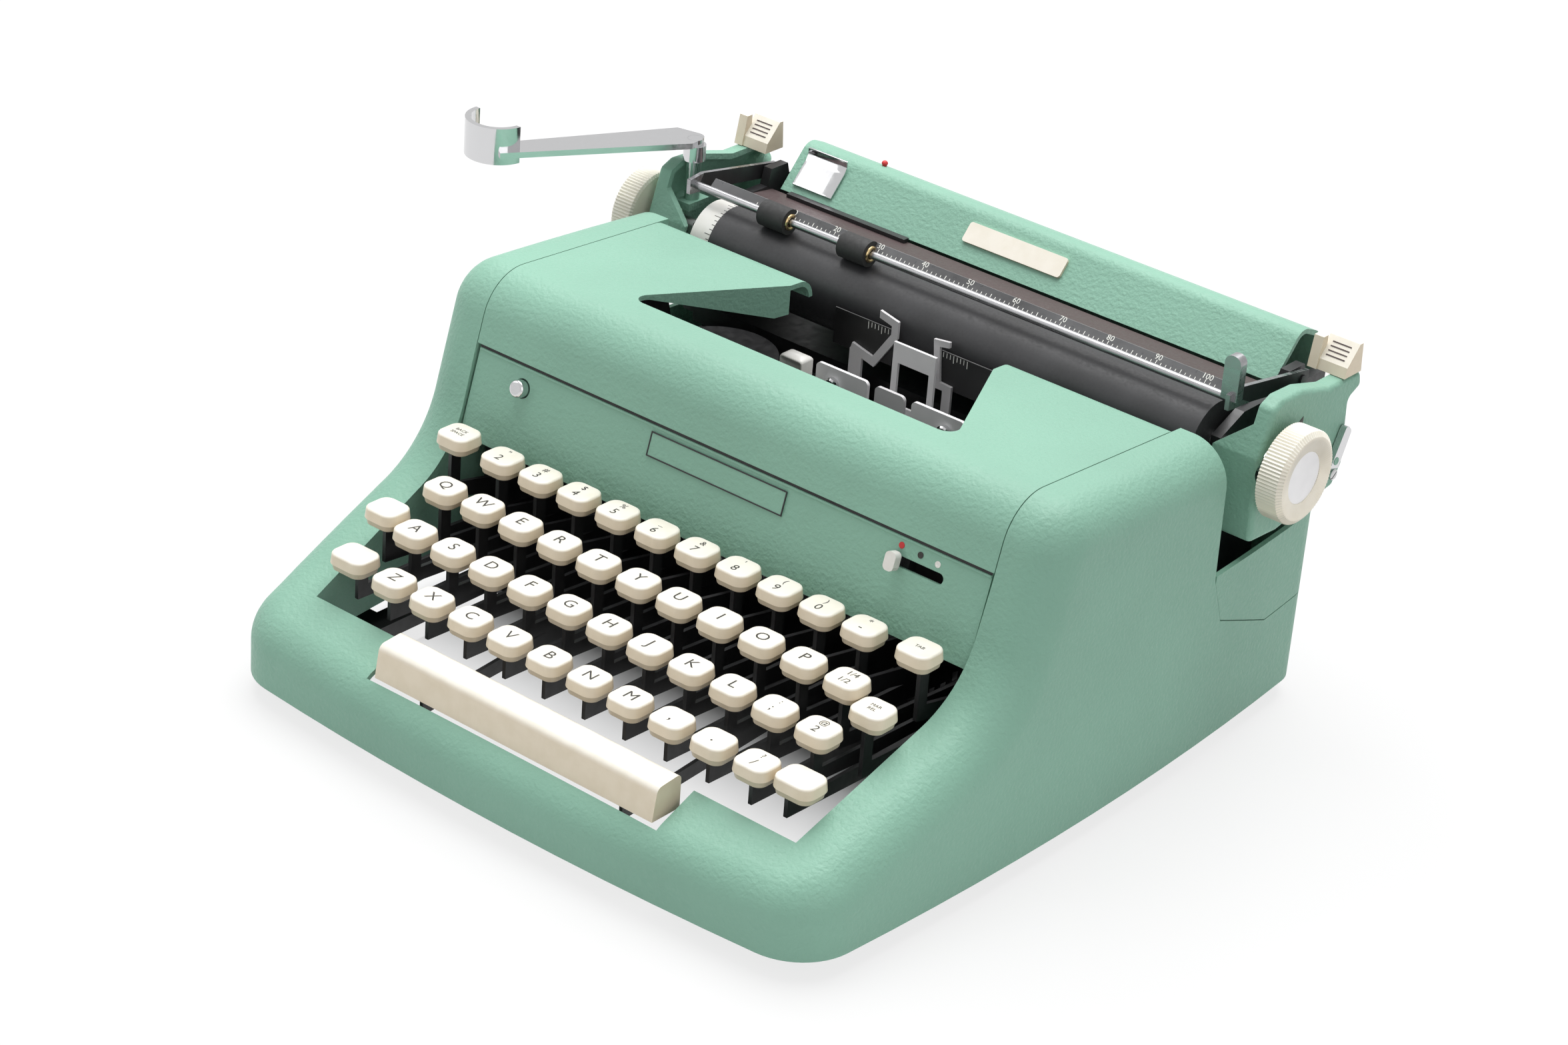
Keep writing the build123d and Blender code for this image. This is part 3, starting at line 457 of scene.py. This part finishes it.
def knurled_knob(side, node):
    # A knob with a knurled edge, a dished face and a well in its middle for the cap
    low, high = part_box(node)
    middle = (low + high) / 2
    radius, depth = (high.z - low.z) / 2, high.x - low.x
    deselect()
    bpy.ops.mesh.primitive_cylinder_add(vertices=2 * KNURLS, radius=radius, depth=depth - KNOB_LIP,
                                        location=middle - Vector((side * KNOB_LIP / 2, 0, 0)),
                                        rotation=(0, math.pi / 2, 0))
    piece = start(f"knurled_{node}")

    def every_other(vertex):
        turn = math.atan2(vertex.co.y - middle.y, vertex.co.z - middle.z)
        return round(turn / math.pi * KNURLS) % 2 == 0

    choose(piece, "VERT", every_other)
    shrink = 1 - KNURL_DEPTH / radius
    bpy.ops.transform.resize(value=(1, shrink, shrink), center_override=middle)
    done()
    choose(piece, "FACE", lambda face: face.normal.x * side > ALONG)
    bpy.ops.mesh.inset(thickness=KNOB_LIP, depth=KNOB_LIP)
    bpy.ops.mesh.inset(thickness=KNOB_RIM, depth=0)
    bpy.ops.mesh.inset(thickness=radius - KNOB_LIP - KNOB_RIM - KNOB_WELL_RADIUS, depth=-KNOB_DISH)
    bpy.ops.mesh.extrude_region_move(TRANSFORM_OT_translate={"value": (-side * KNOB_WELL, 0, 0)})
    done()
    choose(piece, "FACE", lambda face: face.normal.x * side < -ALONG)
    bpy.ops.mesh.inset(thickness=KNOB_BACK_EDGE, depth=KNOB_BACK_DEPTH)
    done()
    smooth(piece, angle=25)
    dress(piece, knob_plastic, "platen")
    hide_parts(node)


DIAL_MARKS, DIAL_LONG_EVERY = 48, 4
DIAL_LONG, DIAL_SHORT, DIAL_EDGE = 3.2 * MM, 1.8 * MM, 0.3 * MM
DIAL_HALF_WIDTH, DIAL_SUNK, DIAL_PROUD = 0.13 * MM, 0.04 * MM, 0.05 * MM


def dial_marks():
    # Fine black strokes round the line dial
    low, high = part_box("line_dial")
    middle, radius, half_length = (low + high) / 2, (high.z - low.z) / 2, (high.x - low.x) / 2
    strokes = []
    for number in range(DIAL_MARKS):
        tall = DIAL_SHORT if number % DIAL_LONG_EVERY else DIAL_LONG
        stroke = block("stroke", (half_length - tall, -DIAL_HALF_WIDTH, radius - DIAL_SUNK),
                       (half_length - DIAL_EDGE, DIAL_HALF_WIDTH, radius + DIAL_PROUD))
        place(stroke, middle, Matrix.Rotation(2 * math.pi * number / DIAL_MARKS, 3, "X"))
        strokes.append(stroke)
    dress(join("dial_marks", strokes), black_ink, "platen")


# Bail

SCALE_ZERO, SCALE_STEP, SCALE_NUMBERS = -81.3 * MM, 2.157 * MM, range(2, 103)
STRIP_WIDTH, STRIP_THICK, STRIP_SHORT, STRIP_RISE = 4.4 * MM, 0.7 * MM, 16 * MM, 3.2 * MM
STRIP_OUT = (0, -1, 1.1)
TICK_LONG, TICK_SHORT, TICK_WIDTH, TICK_EDGE = 1.8 * MM, 1.2 * MM, 0.28 * MM, 0.3 * MM
NUMERAL, NUMERAL_RISE = 3.2 * MM, 2.0 * MM
RING_RADIUS, RING_WIRE = 2.6 * MM, 0.8 * MM


def bail_scale():
    # Dark strip above the bail's rod with a tick for each letter, long at each 5 and numbered at each 10
    low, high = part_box("bail")
    turn = facing((1, 0, 0), STRIP_OUT)
    out, up = turn.col[2], turn.col[1]
    middle = Vector(((low.x + high.x) / 2, BAIL_ROD_Y, BAIL_ROD_Z)) + up * STRIP_RISE
    strip = slab("bail_scale_strip", high.x - low.x - STRIP_SHORT, STRIP_WIDTH, STRIP_THICK)
    place(strip, middle, turn)
    bevel(strip, width=0.2 * MM)
    dress(strip, scale_metal, "bail")
    lower_edge = middle + out * STRIP_THICK / 2 - up * (STRIP_WIDTH / 2 - TICK_EDGE)
    marks = []
    for number in SCALE_NUMBERS:
        tall = TICK_SHORT if number % 5 else TICK_LONG
        spot = Vector((SCALE_ZERO + number * SCALE_STEP, lower_edge.y, lower_edge.z)) + up * tall / 2
        tick = slab("tick", TICK_WIDTH, tall, INK_THICK)
        place(tick, spot, turn)
        marks.append(tick)
        if number % 10 == 0:
            marks.append(word(str(number), NUMERAL, spot + up * NUMERAL_RISE, turn))
    dress(join("bail_scale_marks", marks), white_ink, "bail")


def roller_ends():
    # Brass ring at the right end of each roller
    low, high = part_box("bail_rollers")
    rings = []
    for end in (low.x + ROLLER_LENGTH, high.x):
        deselect()
        bpy.ops.mesh.primitive_torus_add(major_radius=RING_RADIUS, minor_radius=RING_WIRE, major_segments=28,
                                         minor_segments=10, rotation=(0, math.pi / 2, 0),
                                         location=(end, (low.y + high.y) / 2, (low.z + high.z) / 2))
        rings.append(start("ring"))
    piece = join("roller_ends", rings)
    smooth(piece, angle=60)
    dress(piece, old_brass, "bail_rollers")


# Front panel

PANEL_TURN = facing((1, 0, 0), PANEL_OUT)
# Sizes of the dark strip of painted shade in the seam under the hood, and of the panel's rolled edge below
# it
SEAM_SHADE_HALF, SEAM_SHADE_SUNK, SEAM_SHADE_PROUD, SEAM_SHADE_SHORT, SEAM_SHADE_DROP = 0.6 * MM, 0.9 * MM, 0.1 * MM, 1 * MM, 0.2 * MM
BEAD_TALL, BEAD_PROUD = 1.1 * MM, 0.5 * MM
DOT_RADIUS, DOT_THICK, DOT_RAISE = 1.2 * MM, 0.3 * MM, 0.1 * MM
DOTS = [("red", 101.9 * MM, 107.0 * MM, red_ink), ("black", 110.3 * MM, 106.5 * MM, black_ink),
        ("white", 118.0 * MM, 106.0 * MM, white_ink)]
RIM_WIDTH, RIM_THICK, RIM_RAISE, RIM_CLEAR = 0.55 * MM, 0.5 * MM, 0.6 * MM, 0.2 * MM


def on_panel(x, z):
    # A point of the front panel's face, from the lower edge of the face, which is above that of the back
    low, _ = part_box("front_panel")
    return Vector((x, low.y + (z - low.z - PANEL_THICK * PANEL_OUT.z) * PANEL_SLOPE, z))


def hood_seal():
    # Painted shade: a dark strip in the seam under the hood's front edge, and the panel's rolled edge below
    # it
    low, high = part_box("top_hood")
    left, right = low.x + SEAM_SHADE_SHORT, high.x - SEAM_SHADE_SHORT
    spot = on_panel(0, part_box("front_panel")[1].z - SEAM_SHADE_DROP)
    strip = block("hood_seal", (left, -SEAM_SHADE_HALF, -SEAM_SHADE_SUNK), (right, SEAM_SHADE_HALF, SEAM_SHADE_PROUD))
    place(strip, spot, PANEL_TURN)
    bevel(strip, width=0.1 * MM)
    # The strip's black is painted shade in the seam
    dress(strip, black_rubber, "frame")
    bead = block("panel_bead", (left, -SEAM_SHADE_HALF - BEAD_TALL, -SEAM_SHADE_SUNK), (right, -SEAM_SHADE_HALF, BEAD_PROUD))
    place(bead, spot, PANEL_TURN)
    bevel(bead, width=0.4 * MM, segments=3)
    smooth(bead, angle=60)
    dress(bead, green_crinkle, "frame")


def panel_dots():
    for name, x, z, material in DOTS:
        deselect()
        bpy.ops.mesh.primitive_cylinder_add(vertices=24, radius=DOT_RADIUS, depth=DOT_THICK)
        dot = start(f"selector_dot_{name}")
        place(dot, on_panel(x, z) + PANEL_OUT * DOT_RAISE, PANEL_TURN)
        bevel(dot, width=0.1 * MM)
        dress(dot, material, "frame")


def name_plate_rim():
    # Thin dark frame round the bare name plate
    low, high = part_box("name_plate")
    middle = (low + high) / 2
    deselect()
    bpy.ops.mesh.primitive_plane_add(size=1)
    rim = start_sheet("name_plate_rim", high.x - low.x, (high.z - low.z) / -PANEL_OUT.y - RIM_CLEAR)
    choose(rim, "FACE", lambda face: True)
    bpy.ops.mesh.inset(thickness=RIM_WIDTH)
    bpy.ops.mesh.delete(type="FACE")
    done()
    thicken(rim, RIM_THICK)
    place(rim, on_panel(middle.x, middle.z) + PANEL_OUT * RIM_RAISE, PANEL_TURN)
    bevel(rim, width=0.12 * MM)
    dress(rim, black_enamel, "frame")


# Screws

# A screw head's sizes, as shares of its radius and its height
HEAD_HEIGHT, HEAD_SHOULDER, HEAD_CROWN = 0.55, 0.22, 0.28
SLOT_LENGTH, SLOT_WIDTH, SLOT_MIDDLE = 3, 0.28, 1.25
GUIDE_SCREW_RADIUS, GUIDE_SCREW_ASIDE, GUIDE_SCREW_DROP = 3.2 * MM, 27 * MM, 7 * MM
END_SCREW_RADIUS, END_SCREWS = 2.2 * MM, [(83.5 * MM, 104.0 * MM), (128.0 * MM, 99.0 * MM)]


def screw(name, spot, out, along, radius, body, material):
    # A cheese-head screw standing on a face, with its slot along the given way
    height = radius * HEAD_HEIGHT
    deselect()
    bpy.ops.mesh.primitive_cylinder_add(vertices=32, radius=radius, depth=height,
                                        location=(0, 0, height / 2))
    head = start(name)
    choose(head, "FACE", lambda face: face.normal.z > ALONG)
    bpy.ops.mesh.inset(thickness=radius * HEAD_SHOULDER, depth=height * HEAD_CROWN)
    done()
    deselect()
    bpy.ops.mesh.primitive_cube_add(size=1, location=(0, 0, height * SLOT_MIDDLE),
                                    scale=(radius * SLOT_LENGTH, radius * SLOT_WIDTH, height))
    slot = start("screw_slot")
    cut = head.modifiers.new("slot", "BOOLEAN")
    cut.object = slot
    cut.operation = "DIFFERENCE"
    pick(head)
    bpy.ops.object.modifier_apply(modifier="slot")
    bpy.data.objects.remove(slot)
    place(head, spot, facing(along, out))
    smooth(head, angle=30)
    dress(head, material, body)


def cover_face():
    # The right end cover's outer face lies behind the end of the release lever's pin
    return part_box("end_cover_right")[1].x - RELEASE_PIN


def screws():
    low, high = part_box("guide_plates")
    for side in (-1, 1):
        spot = ((low.x + high.x) / 2 + side * GUIDE_SCREW_ASIDE, low.y, high.z - GUIDE_SCREW_DROP)
        screw(f"guide_screw_{side + 1}", spot, (0, -1, 0), (0.8, 0, 0.6), GUIDE_SCREW_RADIUS, "frame",
              bright_chrome)
    for number, (y, z) in enumerate(END_SCREWS):
        screw(f"end_screw_{number}", (cover_face(), y, z), (1, 0, 0), (0, 0.8, 0.6), END_SCREW_RADIUS,
              "carriage", satin_steel)


# Carriage

POINTER_RADIUS, POINTER_THICK, POINTER_Y, POINTER_Z = 2.6 * MM, 0.3 * MM, 100.7 * MM, 129 * MM
RIB_SHARES, RIB_ASIDE, RIB_RAISE = (0.22, 0.40, 0.58, 0.76), 1.5 * MM, 0.05 * MM
RIB_LENGTH, RIB_WIDTH, RIB_THICK = 8 * MM, 0.44 * MM, 0.24 * MM
SLOPE_FRONT, SLOPE_BACK = (1.5 * MM, 4 * MM), (8.5 * MM, 0.5 * MM)
TIP_RADIUS, TIP_STRETCH = 1.3 * MM, (0.8, 0.8, 1.6)
TIP_X, TIP_FORWARD, TIP_RISE = -63 * MM, 12.5 * MM, 0.6 * MM
CLIP_TALL, CLIP_THICK, CLIP_RAISE = 17 * MM, 0.7 * MM, 0.4 * MM
CLIP_BENDS = [(0.18, -16), (0.34, -26)]


def end_pointer():
    # Dark triangle beside the right knob
    deselect()
    bpy.ops.mesh.primitive_cylinder_add(vertices=3, radius=POINTER_RADIUS, depth=POINTER_THICK)
    pointer = start("end_pointer")
    place(pointer, (cover_face(), POINTER_Y, POINTER_Z), facing((0, 0, 1), (1, 0, 0)))
    bevel(pointer, width=0.08 * MM)
    dress(pointer, black_ink, "carriage")


def lever_ribs(node):
    # Plain ribs on the sloping face of a margin lever
    low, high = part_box(node)
    front = Vector((0, low.y + SLOPE_FRONT[0], low.z + SLOPE_FRONT[1]))
    back = Vector((0, low.y + SLOPE_BACK[0], high.z - SLOPE_BACK[1]))
    out = Vector((1, 0, 0)).cross(back - front).normalized()
    ribs = []
    for share in RIB_SHARES:
        spot = front.lerp(back, share) + out * RIB_RAISE
        spot.x = (low.x + high.x) / 2 + RIB_ASIDE
        rib = slab("rib", RIB_LENGTH, RIB_WIDTH, RIB_THICK)
        place(rib, spot, facing((1, 0, 0), out))
        ribs.append(rib)
    dress(join(f"{node}_ribs", ribs), brown_crinkle, node)


def tab_stop_tip():
    # Red tip of a tab stop behind the top of the paper cover
    _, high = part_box("paper_cover")
    deselect()
    bpy.ops.mesh.primitive_uv_sphere_add(segments=24, ring_count=12, radius=TIP_RADIUS)
    tip = start("tab_stop_tip")
    choose(tip, "VERT", lambda point: point.co.z < 0)
    bpy.ops.transform.resize(value=TIP_STRETCH, center_override=(0, 0, 0))
    done()
    place(tip, (TIP_X, high.y - TIP_FORWARD, high.z + TIP_RISE), FLAT)
    smooth(tip, angle=60)
    dress(tip, red_ink, "carriage")


def paper_clip():
    # Sprung chrome clip with a curled lip, on the paper cover's slope
    low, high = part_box("paper_clip")
    slope = Vector((0, high.y - low.y, high.z - low.z)).normalized()
    out = Vector((1, 0, 0)).cross(slope)
    deselect()
    bpy.ops.mesh.primitive_grid_add(x_subdivisions=4, y_subdivisions=24, size=1)
    clip = start_sheet("sprung_clip", high.x - low.x, CLIP_TALL)
    for share, degrees in CLIP_BENDS:
        fold = CLIP_TALL * share
        choose(clip, "VERT", lambda point: point.co.y > fold)
        bpy.ops.transform.rotate(value=math.radians(degrees), orient_axis="X", center_override=(0, fold, 0))
        done()
    thicken(clip, CLIP_THICK)
    place(clip, (low + high) / 2 + out * CLIP_RAISE, facing((1, 0, 0), out))
    bevel(clip, width=0.2 * MM)
    smooth(clip, angle=40)
    dress(clip, bright_chrome, "carriage")
    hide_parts("paper_clip")


# Print point

PLATES = [("left", 5.5 * MM, -23.5 * MM), ("right", 28.0 * MM, 56.0 * MM)]
PLATE_FRONT, PLATE_LOW, PLATE_TOP, PLATE_THICK = 69.0 * MM, 103.5 * MM, 118.5 * MM, 0.7 * MM
STROKES, STROKE_FIRST, STROKE_STEP = 8, 1.2 * MM, 1.6 * MM
STROKE_LONG, STROKE_SHORT, STROKE_EDGE = 3.0 * MM, 2.0 * MM, 0.5 * MM
STROKE_HALF_WIDTH, STROKE_HALF_THICK = 0.16 * MM, 0.06 * MM
GUIDE_WIDTH, GUIDE_DEPTH, GUIDE_RISE = 11 * MM, 7.6 * MM, 1 * MM
GUIDE_ASIDE, GUIDE_FORWARD = 1 * MM, 0.4 * MM
GUIDE_SHOULDER, GUIDE_CROWN = 2.2 * MM, 1.2 * MM
GUIDE_FRAME, GUIDE_RECESS = 1.8 * MM, 1.4 * MM


def alignment_plates():
    # Black plates behind the card holders, with white strokes near the print point and every fourth one long
    for name, near, far in PLATES:
        plate = block(f"alignment_plate_{name}", (min(near, far), PLATE_FRONT, PLATE_LOW),
                      (max(near, far), PLATE_FRONT + PLATE_THICK, PLATE_TOP))
        bevel(plate, width=0.3 * MM)
        dress(plate, black_enamel, "frame")
        strokes = []
        away = 1 if far > near else -1
        top = PLATE_TOP - STROKE_EDGE
        for number in range(STROKES):
            x = near + away * (STROKE_FIRST + STROKE_STEP * number)
            tall = STROKE_LONG if number % 4 == 3 else STROKE_SHORT
            low = (x - STROKE_HALF_WIDTH, PLATE_FRONT - STROKE_HALF_THICK, top - tall)
            high = (x + STROKE_HALF_WIDTH, PLATE_FRONT + STROKE_HALF_THICK, top)
            strokes.append(block("stroke", low, high))
        dress(join(f"alignment_strokes_{name}", strokes), white_ink, "frame")


def ribbon_guide():
    # Pale block that leads the ribbon from the left spool to the vibrator, standing on the shelf
    low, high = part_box("guide_plates")
    right, back = low.x - GUIDE_ASIDE, low.y - GUIDE_FORWARD
    shelf_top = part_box("type_guide")[0].z + SHELF_THICK
    guide = block("ribbon_guide", (right - GUIDE_WIDTH, back - GUIDE_DEPTH, shelf_top),
                  (right, back, high.z + GUIDE_RISE))
    choose(guide, "FACE", lambda face: face.normal.z > ALONG)
    bpy.ops.mesh.inset(thickness=GUIDE_SHOULDER, depth=GUIDE_CROWN)
    done()
    choose(guide, "FACE", lambda face: face.normal.y < -ALONG)
    bpy.ops.mesh.inset(thickness=GUIDE_FRAME, depth=-GUIDE_RECESS)
    done()
    bevel(guide, width=0.7 * MM, segments=3)
    smooth(guide)
    dress(guide, white_plastic, "frame")


# Studio

VIEW_TURN, VIEW_RISE, VIEW_ROLL = math.radians(38.04), math.radians(27.751), math.radians(4.5)
VIEW_PLACE = Vector((0.7928, -0.9954, 0.7297))
PHOTO_WIDTH, FOCAL_PIXELS, SENSOR = 2352, 5800, 36
LAMP_TARGET = Vector((0, 0, 0.06))
LAMPS = [("overhead", (-0.3, 0.5, 1.85), 1.8, 55), ("window", (-1.5, -1.0, 1.1), 1.2, 6),
         ("fill", (1.6, -0.9, 0.9), 1.2, 6)]
TABLE_SIZE, TABLE_ROUGHNESS = 12, 0.6
TABLE_COLOUR, TABLE_GLOW = (0.72, 0.72, 0.72), 0.78
SHADE_LOW, SHADE_HIGH = (-0.095, -0.14, 0.1 * MM), (0.135, 0.10, 0.2 * MM)
SHADE_COLOUR, SHADE_GLOW, SHADE_FADE = (0.72, 0.73, 0.76), 0.74, (-0.085, -0.03)
SKY_STRENGTH = 0.32


def photo_camera():
    back = Vector((math.sin(VIEW_TURN) * math.cos(VIEW_RISE), -math.cos(VIEW_TURN) * math.cos(VIEW_RISE),
                   math.sin(VIEW_RISE)))
    right = Vector((math.cos(VIEW_TURN), math.sin(VIEW_TURN), 0))
    up = back.cross(right)
    rolled_right = math.cos(VIEW_ROLL) * right + math.sin(VIEW_ROLL) * up
    rolled_up = math.cos(VIEW_ROLL) * up - math.sin(VIEW_ROLL) * right
    bpy.ops.object.camera_add()
    camera = bpy.context.active_object
    camera.data.sensor_width = SENSOR
    camera.data.lens = FOCAL_PIXELS / PHOTO_WIDTH * SENSOR
    turn = Matrix((rolled_right, rolled_up, back)).transposed()
    camera.matrix_world = Matrix.Translation(VIEW_PLACE) @ turn.to_4x4()
    bpy.context.scene.camera = camera


def lamp(name, spot, size, power):
    bpy.ops.object.light_add(type="AREA", location=spot)
    light = bpy.context.active_object
    light.name = name
    light.data.size = size
    light.data.energy = power
    light.rotation_mode = "QUATERNION"
    light.rotation_quaternion = (Vector(spot) - LAMP_TARGET).to_track_quat("Z", "Y")


def seen_directly(nodes, links):
    # 1 for what the camera and reflections see, 0 for the light that falls on other things
    path = nodes.new("ShaderNodeLightPath")
    seen = nodes.new("ShaderNodeMath")
    seen.operation = "MAXIMUM"
    links.new(path.outputs["Is Camera Ray"], seen.inputs[0])
    links.new(path.outputs["Is Glossy Ray"], seen.inputs[1])
    return seen.outputs[0]


def mix_into(nodes, links, output, share, first, second):
    # Sends an output the first shader, with a share of the second
    mixed = nodes.new("ShaderNodeMixShader")
    links.new(share, mixed.inputs[0])
    links.new(first.outputs[0], mixed.inputs[1])
    links.new(second.outputs[0], mixed.inputs[2])
    links.new(mixed.outputs[0], nodes[output].inputs["Surface"])


def fade_back(nodes, links, near, far, level):
    # A level that falls to nothing from one Y to another further back
    where = nodes.new("ShaderNodeTexCoord")
    parts = nodes.new("ShaderNodeSeparateXYZ")
    fade = nodes.new("ShaderNodeMapRange")
    for name, value in (("From Min", near), ("From Max", far), ("To Min", level), ("To Max", 0.0)):
        fade.inputs[name].default_value = value
    links.new(where.outputs["Object"], parts.inputs["Vector"])
    links.new(parts.outputs["Y"], fade.inputs["Value"])
    return fade.outputs["Result"]


def pale_ground(name, colour, glow, fade=None):
    # A white glow mixed into what the camera and reflections see: the ground is white and keeps its shadow
    material, nodes, links, shader = finish(name, colour, TABLE_ROUGHNESS)
    white = nodes.new("ShaderNodeEmission")
    white.inputs["Color"].default_value = (1, 1, 1, 1)
    share = nodes.new("ShaderNodeMath")
    share.operation = "MULTIPLY"
    share.inputs[1].default_value = glow
    links.new(seen_directly(nodes, links), share.inputs[0])
    if fade:
        links.new(fade_back(nodes, links, *fade, glow), share.inputs[1])
    mix_into(nodes, links, "Material Output", share.outputs[0], shader, white)
    return material


def ground():
    # The table, and a patch of it under the machine that darkens toward the back
    deselect()
    bpy.ops.mesh.primitive_plane_add(size=TABLE_SIZE)
    floor = start("table_top")
    floor.data.materials.append(pale_ground("pale_table", TABLE_COLOUR, TABLE_GLOW))
    shade = block("shaded_table", SHADE_LOW, SHADE_HIGH)
    shade.data.materials.append(pale_ground("shaded_table", SHADE_COLOUR, SHADE_GLOW, SHADE_FADE))


def sky():
    # Plain white, brighter to the camera and reflections than as light
    world = bpy.data.worlds.new("studio")
    bpy.context.scene.world = world
    world.use_nodes = True
    nodes, links = world.node_tree.nodes, world.node_tree.links
    light = nodes["Background"]
    light.inputs["Color"].default_value = (1, 1, 1, 1)
    light.inputs["Strength"].default_value = SKY_STRENGTH
    bright = nodes.new("ShaderNodeBackground")
    mix_into(nodes, links, "World Output", seen_directly(nodes, links), light, bright)


def studio():
    ground()
    for settings in LAMPS:
        lamp(*settings)
    sky()
    bpy.context.scene.view_settings.view_transform = "Standard"


def main():
    paint_nodes()
    paint_second_finishes()
    key_letters()
    knurled_knob(-1, "knob_left")
    knurled_knob(1, "knob_right")
    bail_scale()
    roller_ends()
    hood_seal()
    panel_dots()
    name_plate_rim()
    screws()
    end_pointer()
    alignment_plates()
    dial_marks()
    lever_ribs("margin_lever_left")
    lever_ribs("margin_lever_right")
    tab_stop_tip()
    paper_clip()
    ribbon_guide()
    studio()
    photo_camera()


main()
